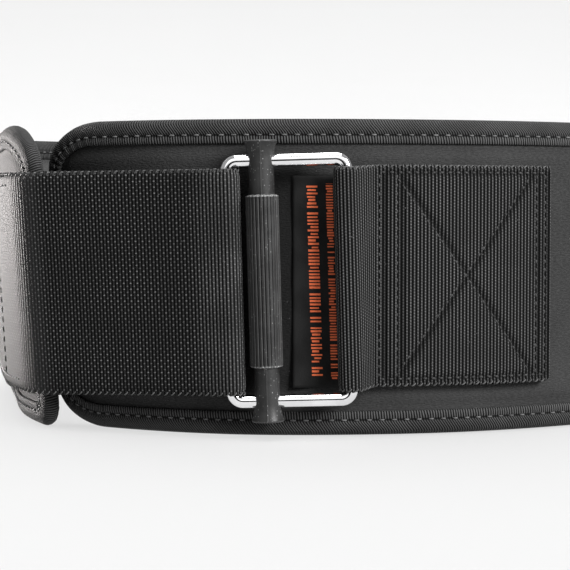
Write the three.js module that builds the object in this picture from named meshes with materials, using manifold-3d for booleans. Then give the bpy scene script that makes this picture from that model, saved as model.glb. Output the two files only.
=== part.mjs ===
// A weightlifting belt, closed into the loop that it is worn in and standing on its lower edge.
//
// A padded body goes once round the waist. Its two ends meet at the front left. Both edges and both ends
// are bound with tape. A wire ring is held on the front by a piece of webbing sewn down in a square, and
// a ribbed bar slides on the ring. The closing strap starts on the left end, goes through the ring from
// behind, folds round the wire and lies back on itself.
//
// Millimetres. +X is to the right of someone looking at the front, +Y goes to the back, +Z goes up.
// The origin is under the middle of the belt, on the surface that it stands on.

import * as THREE from "three";
import { mergeVertices } from "three/addons/utils/BufferGeometryUtils.js";
import Module from "manifold-3d";

const wasm = await Module();
wasm.setup();

// Padded body
const GIRTH = 845; // the outer face from end to end, which the shares in PLAN refer to
const BELT_HEIGHT = 108;
const BODY_THICKNESS = 9;
const LINING_THICKNESS = 1.5;
const EDGE_PINCH = 1.2; // how far the binding's stitches draw each face in
const PINCH_MARGIN = 1.5; // how far inside the binding a face starts to rise
const PINCH_RUN = 6; // and how far inside it a face is full again
const END_CORNER_RUN = 25; // a rounded corner's size along the belt
const END_CORNER_RISE = 17; // and its size across the belt
const END_LAP = 14.6; // how far the left end reaches past the right one
const END_CLEARANCE = 2.4; // room between the left end's lining and the right end

// Edge binding
const BINDING_WIDTH = 8.6; // what shows on each face
const BINDING_THICKNESS = 0.9;
const BINDING_ROUND = 3.2; // how far in the rounding of the edge starts

// Webbing
const WEBBING_THICKNESS = 1.9;
const STRAP_WIDTH = 76.2;
const ANCHOR_WIDTH = 75.4;
const FOLD_SQUEEZE = 0.8; // how much narrower the strap is where it is folded in the ring
const STRAP_TAIL = 145; // the part of the strap that lies back on the left side
const STRAP_ROOT = 160; // the part of the strap that is sewn to the left side
const STRAP_DROP = 2.6; // how far the strap's middle is below the belt's, on the left side

// Buckle
const RING_INNER_WIDTH = 36;
const WIRE_DIAMETER = 4.5;
const RING_CORNER_RADIUS = 3.5; // of the wire's middle line
const RING_SIDE_CLEARANCE = 0.35; // between the strap's edge and the ring
const RING_STANDOFF = 7.6; // from the outer face to the wire's middle line
const RING_YAW = -1; // degrees
const TONGUE_LENGTH = 97.4; // from the right end to the ring's middle, along the face
const BUCKLE_DROP = 0.8; // how far the ring's middle is below the belt's
const BUCKLE_LEAN = 1.6; // degrees, tops to the left

// Bar
const BAR_DIAMETER = 8.7;
const BAR_OVERHANG = 4.7; // past the wire, at each end
const BAR_OFFSET = 8.5; // from the ring's middle to the bar's
const FLARE_DIAMETER = 11.6;
const FLARE_LENGTH = 5.6;
const TIP_CHAMFER = 0.5;
const GRIP_DIAMETER = 11.2;
const GRIP_LENGTH = 58;
const FLUTE_COUNT = 26;
const FLUTE_DEPTH = 0.4;
const WIRE_HOLE_CLEARANCE = 0.25;

// Sewn square and label
const ANCHOR_START = 28.7; // from the ring's middle to the first row of stitches
const ANCHOR_LENGTH = 64.2;
const ANCHOR_RISE = 0.5; // how far the square's middle is above the belt's
const LABEL_START = 0.8; // from the ring's middle to the label's free edge
const LABEL_HEIGHT = 72.7;
const LABEL_THICKNESS = 0.8;
const LABEL_DROP = 1.6;
const LABEL_MARGIN = 1.2; // between the label and where the webbing lands

// Fits and fineness
const GAP = 0.3; // between layers that lie on each other
const BODY_STEP = 14;
const TURN_STEP = 10; // degrees
const FOLD_STEP = 18; // degrees
const CORNER_STEPS = 6;
const WIRE_SIDES = 12;
const BAR_SIDES = 24;

const DEG = Math.PI / 180;
const UP = new THREE.Vector3(0, 0, 1);

// The outer face seen from above, from the right end round to the left end. Each row turns to its
// heading, in degrees from +X, on an arc whose radius is a share of GIRTH. The radius of the back and
// the length of the straight left side have no share: they are what brings the two ends together.
const START_HEADING = -44.4;
const PLAN = [
  { part: "front_left", radius: 0.1538, heading: 0 },
  { part: "front_right", radius: 0.2249, heading: 38 },
  { part: "right_side", radius: 0.1065, heading: 142 },
  { part: "back", radius: null, heading: 193 },
  { part: "back_left", radius: 0.0568, heading: 281 },
  { part: "left_side", radius: null, heading: 281 },
  { part: "left_end", radius: 0.2722, heading: 293 },
];

// How far the belt's top leans out, in degrees, at shares of its length.
const LEAN = [
  { at: 0, degrees: 2.5 },
  { at: 0.1, degrees: 0 },
  { at: 0.62, degrees: 0 },
  { at: 0.78, degrees: 3.5 },
  { at: 1, degrees: 3.5 },
];

// The direction of travel for a heading, and the side of it that faces out of the loop.
const alongPlan = (heading) => new THREE.Vector2(Math.cos(heading), Math.sin(heading));
const outOfPlan = (heading) => new THREE.Vector2(Math.sin(heading), -Math.cos(heading));

// How far an arc of radius 1 moves while it turns from one heading to another.
const unitArc = (from, to) => outOfPlan(to).sub(outOfPlan(from));

// The plan as pieces with a start, a heading, a length and a curvature. The two sizes that PLAN leaves
// open follow from where the left end has to be: outside the right end by the body and its clearance.
function solvePlan() {
  const sum = new THREE.Vector2();
  let from = START_HEADING * DEG;
  let backArc = null;
  for (const row of PLAN) {
    const to = row.heading * DEG;
    if (row.part === "back") backArc = unitArc(from, to);
    else if (row.radius !== null) sum.addScaledVector(unitArc(from, to), row.radius * GIRTH);
    from = to;
  }
  const wanted = alongPlan(from).multiplyScalar(END_LAP);
  wanted.addScaledVector(outOfPlan(from), BODY_THICKNESS + END_CLEARANCE).sub(sum);
  const side = alongPlan(PLAN.find((row) => row.part === "left_side").heading * DEG);
  const determinant = backArc.cross(side);
  const backRadius = wanted.cross(side) / determinant;
  const sideLength = backArc.cross(wanted) / determinant;

  const pieces = [];
  const at = new THREE.Vector2();
  from = START_HEADING * DEG;
  for (const row of PLAN) {
    const to = row.heading * DEG;
    const straight = row.part === "left_side";
    const radius = row.part === "back" ? backRadius : row.radius * GIRTH;
    const length = straight ? sideLength : radius * (to - from);
    pieces.push({ start: at.clone(), heading: from, length, bend: straight ? 0 : 1 / radius });
    if (straight) at.addScaledVector(alongPlan(from), length);
    else at.addScaledVector(unitArc(from, to), radius);
    from = to;
  }
  return pieces;
}

const PIECES = solvePlan();
const BODY_LENGTH = PIECES.reduce((sum, piece) => sum + piece.length, 0);

// The point of the plan at distance s from the right end, and its heading.
function planAt(s) {
  let left = s;
  let piece = PIECES[0];
  for (piece of PIECES) {
    if (left <= piece.length || piece === PIECES.at(-1)) break;
    left -= piece.length;
  }
  const heading = piece.heading + piece.bend * left;
  const point = piece.start.clone();
  if (piece.bend === 0) point.addScaledVector(alongPlan(heading), left);
  else point.addScaledVector(unitArc(piece.heading, heading), 1 / piece.bend);
  return { point, heading };
}

function leanAt(s) {
  const share = s / BODY_LENGTH;
  const next = LEAN.findIndex((row) => row.at >= share);
  if (next <= 0) return LEAN.at(next === 0 ? 0 : -1).degrees * DEG;
  const a = LEAN[next - 1];
  const b = LEAN[next];
  return THREE.MathUtils.lerp(a.degrees, b.degrees, THREE.MathUtils.smoothstep(share, a.at, b.at)) * DEG;
}

// The belt's own axes at distance s: along it, out of the loop, and up across it. The middle of the
// outer face is lowered with the lean, so that the lower edge stays on the ground.
function beltFrame(s) {
  const { point, heading } = planAt(s);
  const lean = leanAt(s);
  const level = outOfPlan(heading);
  const flat = new THREE.Vector3(level.x, level.y, 0);
  const out = flat.clone().multiplyScalar(Math.cos(lean)).addScaledVector(UP, -Math.sin(lean));
  const up = flat.clone().multiplyScalar(Math.sin(lean)).addScaledVector(UP, Math.cos(lean));
  const ahead = alongPlan(heading);
  const z = (BELT_HEIGHT / 2) * Math.cos(lean) - BINDING_ROUND * Math.sin(lean);
  return { middle: new THREE.Vector3(point.x, point.y, z), along: new THREE.Vector3(ahead.x, ahead.y, 0), out, up };
}

// A point of the belt: s along it, height above its middle line, depth out from its outer face.
function onBelt(s, height, depth) {
  const frame = beltFrame(s);
  return frame.middle.clone().addScaledVector(frame.up, height).addScaledVector(frame.out, depth);
}

// The distances along the belt at which every layer has a section, so that layers keep their gap.
function sharedStations() {
  const found = [];
  let start = 0;
  for (const piece of PIECES) {
    const turn = Math.abs(piece.bend) * piece.length;
    const steps = Math.max(2, Math.ceil(Math.max(piece.length / BODY_STEP, turn / (TURN_STEP * DEG))));
    for (let i = 0; i < steps; i++) found.push(start + (piece.length * i) / steps);
    start += piece.length;
  }
  return [...found, BODY_LENGTH];
}

const STATIONS = sharedStations();

function stationsBetween(from, to) {
  const low = Math.min(from, to);
  const high = Math.max(from, to);
  const nearest = 1; // closer stations than this would make slivers
  const inside = STATIONS.filter((s) => s > low + nearest && s < high - nearest);
  const list = [low, ...inside, high];
  return from < to ? list : list.reverse();
}

// A closed surface through sections with the same number of points. An open loft is capped at both
// ends with triangles that outline gives, and a ring of sections is closed on itself. Each four-sided
// patch is split along its shorter diagonal, so that two layers that lie on each other split alike.
function loft(sections, outline = null) {
  const points = sections.flat();
  const count = sections[0].length;
  const rows = sections.length;
  const index = [];
  const ring = outline === null;
  for (let i = 0; i < (ring ? rows : rows - 1); i++) {
    const a = i * count;
    const b = ((i + 1) % rows) * count;
    for (let j = 0; j < count; j++) {
      const k = (j + 1) % count;
      const falling = points[a + j].distanceTo(points[b + k]) < points[b + j].distanceTo(points[a + k]);
      if (falling) index.push(a + j, b + j, b + k, a + j, b + k, a + k);
      else index.push(a + j, b + j, a + k, b + j, b + k, a + k);
    }
  }
  if (!ring) {
    const last = (rows - 1) * count;
    const clockwise = THREE.ShapeUtils.isClockWise(outline);
    for (const corners of THREE.ShapeUtils.triangulateShape(outline, [])) {
      const [p, q, r] = clockwise ? corners : corners.reverse();
      index.push(r, q, p, last + p, last + q, last + r);
    }
  }
  const geometry = new THREE.BufferGeometry().setFromPoints(points);
  geometry.setIndex(index);
  return facingOut(geometry);
}

// Turns the faces of a closed geometry round if they point in.
function facingOut(geometry) {
  const position = geometry.getAttribute("position");
  const index = geometry.index.array;
  const [a, b, c] = [new THREE.Vector3(), new THREE.Vector3(), new THREE.Vector3()];
  let volume = 0;
  for (let i = 0; i < index.length; i += 3) {
    a.fromBufferAttribute(position, index[i]);
    b.fromBufferAttribute(position, index[i + 1]);
    c.fromBufferAttribute(position, index[i + 2]);
    volume += a.dot(b.cross(c));
  }
  if (volume < 0) {
    for (let i = 0; i < index.length; i += 3) [index[i], index[i + 1]] = [index[i + 1], index[i]];
  }
  geometry.computeVertexNormals();
  return geometry;
}

function solid(geometry) {
  const bare = new THREE.BufferGeometry().setAttribute("position", geometry.getAttribute("position"));
  if (geometry.index) bare.setIndex(geometry.index);
  const merged = mergeVertices(bare, 1e-4);
  const vertProperties = new Float32Array(merged.attributes.position.array);
  const triVerts = new Uint32Array(merged.index.array);
  return new wasm.Manifold(new wasm.Mesh({ numProp: 3, vertProperties, triVerts }));
}

function surface(manifold) {
  const mesh = manifold.getMesh();
  const geometry = new THREE.BufferGeometry();
  geometry.setAttribute("position", new THREE.BufferAttribute(mesh.vertProperties, mesh.numProp));
  geometry.setIndex(new THREE.BufferAttribute(mesh.triVerts, 1));
  geometry.computeVertexNormals();
  return geometry;
}

// Half the belt's height at distance s, which drops in a quarter of an ellipse at each end.
function halfHeight(s, inset) {
  const run = END_CORNER_RUN - inset;
  const rise = END_CORNER_RISE - inset;
  const fromEnd = Math.min(s, BODY_LENGTH - s) - inset;
  const share = THREE.MathUtils.clamp(1 - fromEnd / run, 0, 1);
  return BELT_HEIGHT / 2 - inset - rise * (1 - Math.sqrt(1 - share * share));
}

// How far a point of the belt is from the belt's edge.
function distanceFromEdge(s, height) {
  const fromEnd = Math.min(s, BODY_LENGTH - s);
  const fromSide = BELT_HEIGHT / 2 - Math.abs(height);
  const x = 1 - fromEnd / END_CORNER_RUN;
  const y = 1 - fromSide / END_CORNER_RISE;
  if (x <= 0 || y <= 0) return Math.min(fromEnd, fromSide);
  const radius = Math.hypot(x, y);
  return ((1 - radius) * radius) / Math.hypot(x / END_CORNER_RUN, y / END_CORNER_RISE);
}

// How far a face is drawn in at a distance from the edge of the belt.
function pinchAt(distance) {
  const start = BINDING_WIDTH + PINCH_MARGIN;
  return EDGE_PINCH * (1 - THREE.MathUtils.smoothstep(distance, start, BINDING_WIDTH + PINCH_RUN));
}

// One padded layer between two depths. Each section has a row of points up its outer side and another
// down its inner side, at the same distances from the edge.
function padLayer(outer, inner) {
  const inset = BINDING_THICKNESS + GAP;
  const corner = [];
  for (let i = 0; i <= CORNER_STEPS; i++) {
    const share = 1 - Math.sin((i / CORNER_STEPS) * (Math.PI / 2));
    corner.push(inset + (END_CORNER_RUN - inset) * (1 - Math.sqrt(1 - (1 - share) ** 2)));
  }
  const clear = END_CORNER_RUN + 2;
  const middle = STATIONS.filter((s) => s > clear && s < BODY_LENGTH - clear);
  const ends = corner.map((s) => BODY_LENGTH - s).reverse();
  const places = [...corner, ...middle, ...ends];
  const edges = [0, BINDING_WIDTH + PINCH_MARGIN - inset, BINDING_WIDTH + PINCH_RUN - inset];
  let outline = null;
  const sections = places.map((s) => {
    const half = halfHeight(s, inset);
    const heights = [...edges.map((e) => -half + e), ...edges.map((e) => half - e).reverse()];
    const pinch = heights.map((h) => pinchAt(distanceFromEdge(s, h)));
    const side = heights.map((h, i) => new THREE.Vector2(h, outer(pinch[i])));
    const back = heights.map((h, i) => new THREE.Vector2(h, inner(pinch[i]))).reverse();
    outline ??= [...side, ...back];
    return [...side, ...back].map((p) => onBelt(s, p.x, p.y));
  });
  return loft(sections, outline);
}

const LINING_OUTSIDE = -BODY_THICKNESS + LINING_THICKNESS;

function paddedBody() {
  return padLayer((pinch) => -pinch, (pinch) => LINING_OUTSIDE + GAP + pinch);
}

function innerLining() {
  return padLayer((pinch) => LINING_OUTSIDE + pinch, (pinch) => -BODY_THICKNESS + pinch);
}

// The edge of the belt as a closed line: each point has its place along the belt, its height, and the
// direction that points in from the edge.
function beltEdge() {
  const right = END_CORNER_RUN;
  const left = BODY_LENGTH - END_CORNER_RUN;
  const half = BELT_HEIGHT / 2;
  const level = half - END_CORNER_RISE;
  const points = [];
  const cornerAt = (s, height, fromDegrees) => {
    for (let i = 0; i <= CORNER_STEPS; i++) {
      const angle = (fromDegrees + (90 * i) / CORNER_STEPS) * DEG;
      const normal = new THREE.Vector2(-Math.cos(angle) / END_CORNER_RUN, -Math.sin(angle) / END_CORNER_RISE);
      points.push({
        s: s + END_CORNER_RUN * Math.cos(angle),
        height: height + END_CORNER_RISE * Math.sin(angle),
        inward: normal.normalize(),
      });
    }
  };
  const run = STATIONS.filter((s) => s > right + 2 && s < left - 2);
  for (const s of run) points.push({ s, height: -half, inward: new THREE.Vector2(0, 1) });
  cornerAt(left, -level, -90);
  cornerAt(left, level, 0);
  for (const s of run.reverse()) points.push({ s, height: half, inward: new THREE.Vector2(0, -1) });
  cornerAt(right, level, 90);
  cornerAt(right, -level, 180);
  return points;
}

// Tape folded over the edge: the tape's section is carried once round the belt. Its outer side is
// flush with the faces, and its inner side clears the drawn-in edge of the body and the lining.
function edgeBinding() {
  const front = -EDGE_PINCH + GAP;
  const back = -BODY_THICKNESS + EDGE_PINCH - GAP;
  const cut = BINDING_ROUND * (1 - Math.SQRT1_2);
  const wall = BINDING_THICKNESS;
  const outerSide = [
    { inset: BINDING_WIDTH, depth: front + wall },
    { inset: BINDING_ROUND, depth: front + wall },
    { inset: cut, depth: front + wall - cut },
    { inset: 0, depth: front + wall - BINDING_ROUND },
  ];
  const mirrored = outerSide.map((p) => ({ inset: p.inset, depth: -BODY_THICKNESS - p.depth })).reverse();
  const innerSide = [
    { inset: BINDING_WIDTH, depth: back },
    { inset: wall, depth: back },
    { inset: wall, depth: front },
    { inset: BINDING_WIDTH, depth: front },
  ];
  const profile = [...outerSide, ...mirrored, ...innerSide];
  const sections = beltEdge().map((edge) =>
    profile.map((p) =>
      onBelt(edge.s + edge.inward.x * p.inset, edge.height + edge.inward.y * p.inset, p.depth),
    ),
  );
  return loft(sections);
}

// Webbing: flat tape carried along a list of stations, each with its place, its direction of travel, its
// direction up and its width.
function webbing(stations) {
  const half = WEBBING_THICKNESS / 2;
  const sections = stations.map((station) => {
    const side = station.along.clone().cross(station.up).normalize();
    return [
      [-1, -1],
      [1, -1],
      [1, 1],
      [-1, 1],
    ].map(([u, v]) =>
      station.place
        .clone()
        .addScaledVector(station.up, (u * station.width) / 2)
        .addScaledVector(side, v * half),
    );
  });
  const outline = [
    new THREE.Vector2(-1, -1),
    new THREE.Vector2(1, -1),
    new THREE.Vector2(1, 1),
    new THREE.Vector2(-1, 1),
  ];
  return loft(sections, outline);
}

// Webbing that lies on the belt's outer face, depth out from it.
function layOnBelt(from, to, height, depth, width) {
  return stationsBetween(from, to).map((s) => ({
    place: onBelt(s, height, depth),
    along: beltFrame(s).along.multiplyScalar(Math.sign(to - from)),
    up: beltFrame(s).up,
    width,
  }));
}

// The heading of the straight line from one round to the next. A round turns left round its middle
// with a positive radius, right with a negative one, and is a plain corner with none.
function headingBetween(a, b) {
  const way = new THREE.Vector2(b.middle.x - a.middle.x, b.middle.y - a.middle.y);
  return way.angle() + Math.asin((a.radius - b.radius) / way.length());
}

// Stations that follow one round from a heading to another.
function followRound(round, from, to) {
  let turn = to - from;
  while (round.radius > 0 && turn < 0) turn += 2 * Math.PI;
  while (round.radius < 0 && turn > 0) turn -= 2 * Math.PI;
  const steps = Math.max(1, Math.ceil(Math.abs(turn) / (FOLD_STEP * DEG)));
  return Array.from({ length: steps + 1 }, (_, i) => {
    const heading = from + (turn * i) / steps;
    const out = outOfPlan(heading);
    const along = new THREE.Vector3(Math.cos(heading), Math.sin(heading), 0);
    const place = round.middle.clone().add(new THREE.Vector3(out.x, out.y, 0).multiplyScalar(round.radius));
    const squeeze = Math.sin((i / steps) * Math.PI) * (round.squeeze ?? 0);
    return { place, along, up: round.up, width: round.width - squeeze };
  });
}

// The ring's middle and its axes: across it, through it to the back, and up.
const beltAtRing = beltFrame(TONGUE_LENGTH);
const ringHeading = planAt(TONGUE_LENGTH).heading + RING_YAW * DEG;
const ringAcross = new THREE.Vector3(Math.cos(ringHeading), Math.sin(ringHeading), 0)
  .multiplyScalar(Math.cos(BUCKLE_LEAN * DEG))
  .addScaledVector(UP, Math.sin(BUCKLE_LEAN * DEG));
const ringBack = new THREE.Vector3(-Math.sin(ringHeading), Math.cos(ringHeading), 0);
const ringUp = ringAcross.clone().cross(ringBack);
const ringMiddle = beltAtRing.middle
  .clone()
  .addScaledVector(beltAtRing.out, RING_STANDOFF)
  .addScaledVector(UP, -BUCKLE_DROP);

const ringHalfWidth = (RING_INNER_WIDTH + WIRE_DIAMETER) / 2;
const ringHalfHeight = STRAP_WIDTH / 2 + RING_SIDE_CLEARANCE + WIRE_DIAMETER / 2;
const foldRadius = WIRE_DIAMETER / 2 + GAP + WEBBING_THICKNESS / 2;
const lowerLayer = GAP + WEBBING_THICKNESS / 2;
const upperLayer = lowerLayer + WEBBING_THICKNESS + GAP;

function buckleRing() {
  const rows = [];
  const straightX = ringHalfWidth - RING_CORNER_RADIUS;
  const straightZ = ringHalfHeight - RING_CORNER_RADIUS;
  const corners = [
    [1, 1, 0],
    [-1, 1, 90],
    [-1, -1, 180],
    [1, -1, 270],
  ];
  for (const [signX, signZ, start] of corners) {
    for (let i = 0; i <= CORNER_STEPS; i++) {
      const angle = (start + (90 * i) / CORNER_STEPS) * DEG;
      const out = new THREE.Vector3(Math.cos(angle), 0, Math.sin(angle));
      const middle = new THREE.Vector3(signX * straightX, 0, signZ * straightZ);
      rows.push({ out, middle: middle.addScaledVector(out, RING_CORNER_RADIUS) });
    }
  }
  const back = new THREE.Vector3(0, 1, 0);
  const sections = rows.map(({ out, middle }) =>
    Array.from({ length: WIRE_SIDES }, (_, j) => {
      const angle = (2 * Math.PI * j) / WIRE_SIDES;
      return middle
        .clone()
        .addScaledVector(out, (WIRE_DIAMETER / 2) * Math.cos(angle))
        .addScaledVector(back, (WIRE_DIAMETER / 2) * Math.sin(angle));
    }),
  );
  return loft(sections);
}

// The bar stands along Z: a turned core with flared tips, a fluted grip round its middle, and a hole
// near each end that the ring's wire runs through.
function lockingBar() {
  const halfLength = ringHalfHeight + WIRE_DIAMETER / 2 + BAR_OVERHANG;
  const flare = FLARE_DIAMETER / 2;
  const core = BAR_DIAMETER / 2;
  const halfProfile = [
    [0, halfLength],
    [flare - TIP_CHAMFER, halfLength],
    [flare, halfLength - TIP_CHAMFER],
    [core + (flare - core) * 0.35, halfLength - FLARE_LENGTH / 2],
    [core, halfLength - FLARE_LENGTH],
  ];
  const lower = halfProfile.map(([x, y]) => new THREE.Vector2(x, -y));
  const upper = halfProfile.map(([x, y]) => new THREE.Vector2(x, y)).reverse();
  const turned = new THREE.LatheGeometry([...lower, ...upper], BAR_SIDES).rotateX(90 * DEG);

  const outline = new THREE.Shape();
  const cuts = [
    { at: 0, depth: 0 },
    { at: 0.5, depth: 0 },
    { at: 0.65, depth: FLUTE_DEPTH },
    { at: 0.85, depth: FLUTE_DEPTH },
  ];
  for (let i = 0; i < FLUTE_COUNT; i++) {
    for (const cut of cuts) {
      const angle = (2 * Math.PI * (i + cut.at)) / FLUTE_COUNT;
      const radius = GRIP_DIAMETER / 2 - cut.depth;
      const point = [radius * Math.cos(angle), radius * Math.sin(angle)];
      if (i === 0 && cut.at === 0) outline.moveTo(...point);
      else outline.lineTo(...point);
    }
  }
  const grip = new THREE.ExtrudeGeometry(outline, { depth: GRIP_LENGTH, bevelEnabled: false, steps: 1 });
  grip.translate(0, 0, -GRIP_LENGTH / 2);

  let bar = solid(turned).add(solid(grip));
  const holeRadius = WIRE_DIAMETER / 2 + WIRE_HOLE_CLEARANCE;
  for (const end of [-1, 1]) {
    const hole = new THREE.CylinderGeometry(holeRadius, holeRadius, 2 * FLARE_DIAMETER, BAR_SIDES);
    hole.rotateZ(90 * DEG).translate(0, 0, end * ringHalfHeight);
    bar = bar.subtract(solid(hole));
  }
  return surface(bar);
}

// The strap's route: on along the left side, round the left end, behind the ring's left wire, round
// it, back over itself round the left end, and along the left side again.
function closureStrap() {
  const turnAt = BODY_LENGTH - BINDING_ROUND;
  const round = (depth) => ({
    middle: onBelt(turnAt, -STRAP_DROP, -BINDING_ROUND),
    radius: BINDING_ROUND + depth,
    up: beltFrame(turnAt).up,
    width: STRAP_WIDTH,
  });
  const wire = {
    middle: ringMiddle.clone().addScaledVector(ringAcross, -ringHalfWidth),
    radius: -foldRadius,
    up: ringUp,
    width: STRAP_WIDTH,
    squeeze: FOLD_SQUEEZE,
  };
  const inner = round(lowerLayer);
  const outer = round(upperLayer);
  const reversed = { ...outer, radius: -outer.radius };
  const towards = headingBetween(inner, wire);
  const away = headingBetween(wire, reversed);
  const arriving = planAt(turnAt).heading;
  return webbing([
    ...layOnBelt(BODY_LENGTH - STRAP_ROOT, turnAt, -STRAP_DROP, lowerLayer, STRAP_WIDTH).slice(0, -1),
    ...followRound(inner, arriving, towards),
    ...followRound(wire, towards, away),
    ...followRound(reversed, away, arriving - Math.PI),
    ...layOnBelt(turnAt, BODY_LENGTH - STRAP_TAIL, -STRAP_DROP, upperLayer, STRAP_WIDTH).slice(1),
  ]);
}

// The webbing that holds the ring: along the face under the square, behind the ring's right wire,
// round it, and back on top of itself.
function anchorWebbing() {
  const near = TONGUE_LENGTH + ANCHOR_START;
  const far = near + ANCHOR_LENGTH;
  const landing = (depth) => ({
    middle: onBelt(near, ANCHOR_RISE, depth),
    radius: 0,
    up: UP,
    width: ANCHOR_WIDTH,
  });
  const wire = {
    middle: ringMiddle.clone().addScaledVector(ringAcross, ringHalfWidth),
    radius: foldRadius,
    up: ringUp,
    width: ANCHOR_WIDTH,
  };
  const towards = headingBetween(landing(lowerLayer), wire);
  const away = headingBetween(wire, landing(upperLayer));
  return webbing([
    ...layOnBelt(far, near, ANCHOR_RISE, lowerLayer, ANCHOR_WIDTH),
    ...followRound(wire, towards, away),
    ...layOnBelt(near, far, ANCHOR_RISE, upperLayer, ANCHOR_WIDTH),
  ]);
}

function labelPatch() {
  const from = TONGUE_LENGTH + LABEL_START;
  const to = TONGUE_LENGTH + ANCHOR_START - LABEL_MARGIN - WEBBING_THICKNESS;
  const sections = stationsBetween(from, to).map((s) =>
    [
      [-LABEL_HEIGHT / 2, GAP],
      [LABEL_HEIGHT / 2, GAP],
      [LABEL_HEIGHT / 2, GAP + LABEL_THICKNESS],
      [-LABEL_HEIGHT / 2, GAP + LABEL_THICKNESS],
    ].map(([height, depth]) => onBelt(s, height - LABEL_DROP, depth)),
  );
  const outline = [
    new THREE.Vector2(0, 0),
    new THREE.Vector2(1, 0),
    new THREE.Vector2(1, 1),
    new THREE.Vector2(0, 1),
  ];
  return loft(sections, outline);
}

const MATERIALS = {
  face: new THREE.MeshStandardMaterial({ color: 0x2b2b2c, roughness: 0.9, metalness: 0 }),
  lining: new THREE.MeshStandardMaterial({ color: 0x3c3c3d, roughness: 0.85, metalness: 0 }),
  binding: new THREE.MeshStandardMaterial({ color: 0x262627, roughness: 0.75, metalness: 0 }),
  webbing: new THREE.MeshStandardMaterial({ color: 0x1f1f20, roughness: 0.7, metalness: 0 }),
  label: new THREE.MeshStandardMaterial({ color: 0x202122, roughness: 0.6, metalness: 0 }),
  steel: new THREE.MeshStandardMaterial({ color: 0xe8e8ea, roughness: 0.1, metalness: 1 }),
  bar: new THREE.MeshStandardMaterial({ color: 0x2a2a2a, roughness: 0.55, metalness: 0 }),
};

function piece(name, geometry, material) {
  const mesh = new THREE.Mesh(geometry, material);
  mesh.name = name;
  return mesh;
}

const buckle = new THREE.Group();
buckle.add(piece("buckle_ring", buckleRing(), MATERIALS.steel));
const bar = piece("locking_bar", lockingBar(), MATERIALS.bar);
bar.position.x = -BAR_OFFSET;
buckle.add(bar);
buckle.position.copy(ringMiddle);
buckle.quaternion.setFromRotationMatrix(new THREE.Matrix4().makeBasis(ringAcross, ringBack, ringUp));

const belt = new THREE.Group();
belt.add(
  piece("padded_body", paddedBody(), MATERIALS.face),
  piece("inner_lining", innerLining(), MATERIALS.lining),
  piece("edge_binding", edgeBinding(), MATERIALS.binding),
  piece("closure_strap", closureStrap(), MATERIALS.webbing),
  piece("anchor_webbing", anchorWebbing(), MATERIALS.webbing),
  piece("label_patch", labelPatch(), MATERIALS.label),
  buckle,
);

// The frame's origin goes under the middle of everything that was built.
const extent = new THREE.Box3().setFromObject(belt, true);
const middle = extent.getCenter(new THREE.Vector3());
belt.position.set(-middle.x, -middle.y, -extent.min.z);

export default belt;
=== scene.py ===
# %% [markdown]
# # A weightlifting belt, closed into its loop
#
# The belt is a thick padded band with ribbed tape folded over its edges. A wire ring hangs in a loop of
# webbing that is sewn to the front, and a ribbed bar slides on the ring. The closing strap goes through
# the ring from behind, folds round the wire and lies back on itself.
#
# The solids of the CAD model are loaded first and never change. Each cloth piece here takes the place of
# one of them, worked out with numpy as a surface over two parameters. Sizes are in millimetres.

import bpy
import numpy as np
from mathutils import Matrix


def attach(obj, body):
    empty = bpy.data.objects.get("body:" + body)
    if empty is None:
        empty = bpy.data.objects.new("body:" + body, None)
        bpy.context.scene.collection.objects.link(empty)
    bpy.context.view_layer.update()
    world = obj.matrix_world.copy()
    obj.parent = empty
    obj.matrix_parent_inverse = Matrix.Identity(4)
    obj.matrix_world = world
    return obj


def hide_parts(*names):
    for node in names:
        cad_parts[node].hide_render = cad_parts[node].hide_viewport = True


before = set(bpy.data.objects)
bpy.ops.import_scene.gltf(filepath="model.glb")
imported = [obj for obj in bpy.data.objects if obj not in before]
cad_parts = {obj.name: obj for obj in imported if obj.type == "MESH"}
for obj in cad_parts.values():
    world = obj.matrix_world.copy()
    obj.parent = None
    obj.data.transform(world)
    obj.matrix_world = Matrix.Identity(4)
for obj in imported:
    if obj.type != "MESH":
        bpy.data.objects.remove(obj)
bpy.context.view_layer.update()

MM = 0.001

# %% [markdown]
# ## The line that everything follows
#
# Seen from above, the belt is a row of arcs, each joining the next without a kink. Blender's curves could
# draw it, but a function of the distance along the belt is handier, because every layer asks the same
# question: where is the point at distance s, at this height, this far out from the face?

# %% The plan as arcs
BELT_HEIGHT = 109.2
THICKNESS = 9.0
EDGE_ROUND = 3.2
START_HEADING = np.radians(-44.4)
PLAN_ORIGIN = np.array([99.0286, 74.3281, 0.0])
ARC_LENGTHS = np.array([100.7102, 126.0396, 163.3492, 223.8786, 73.7166, 109.8863, 48.1730])
ARC_TURNS = np.radians([44.4, 38.0, 104.0, 51.0, 88.0, 0.0, 12.0])

LENGTH = ARC_LENGTHS.sum()
arc_starts = np.concatenate([[0], np.cumsum(ARC_LENGTHS)])[:-1]
arc_headings = START_HEADING + np.concatenate([[0], np.cumsum(ARC_TURNS)])[:-1]
arc_chords = ARC_LENGTHS * np.sinc(ARC_TURNS / 2 / np.pi)
arc_x = np.concatenate([[0], np.cumsum(arc_chords * np.cos(arc_headings + ARC_TURNS / 2))])
arc_y = np.concatenate([[0], np.cumsum(arc_chords * np.sin(arc_headings + ARC_TURNS / 2))])


def plan_at(s):
    """The point and heading at distance s: a chord is the arc's length times sinc of half its turn."""
    i = np.clip(np.searchsorted(arc_starts, s, side="right") - 1, 0, len(ARC_LENGTHS) - 1)
    beyond = s - arc_starts[i]
    half_turn = ARC_TURNS[i] / ARC_LENGTHS[i] * beyond / 2
    chord = beyond * np.sinc(half_turn / np.pi)
    middle = arc_headings[i] + half_turn
    x = arc_x[i] + chord * np.cos(middle)
    y = arc_y[i] + chord * np.sin(middle)
    return x, y, middle + half_turn


print(f"outer face {LENGTH:.0f} mm from end to end")

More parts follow.
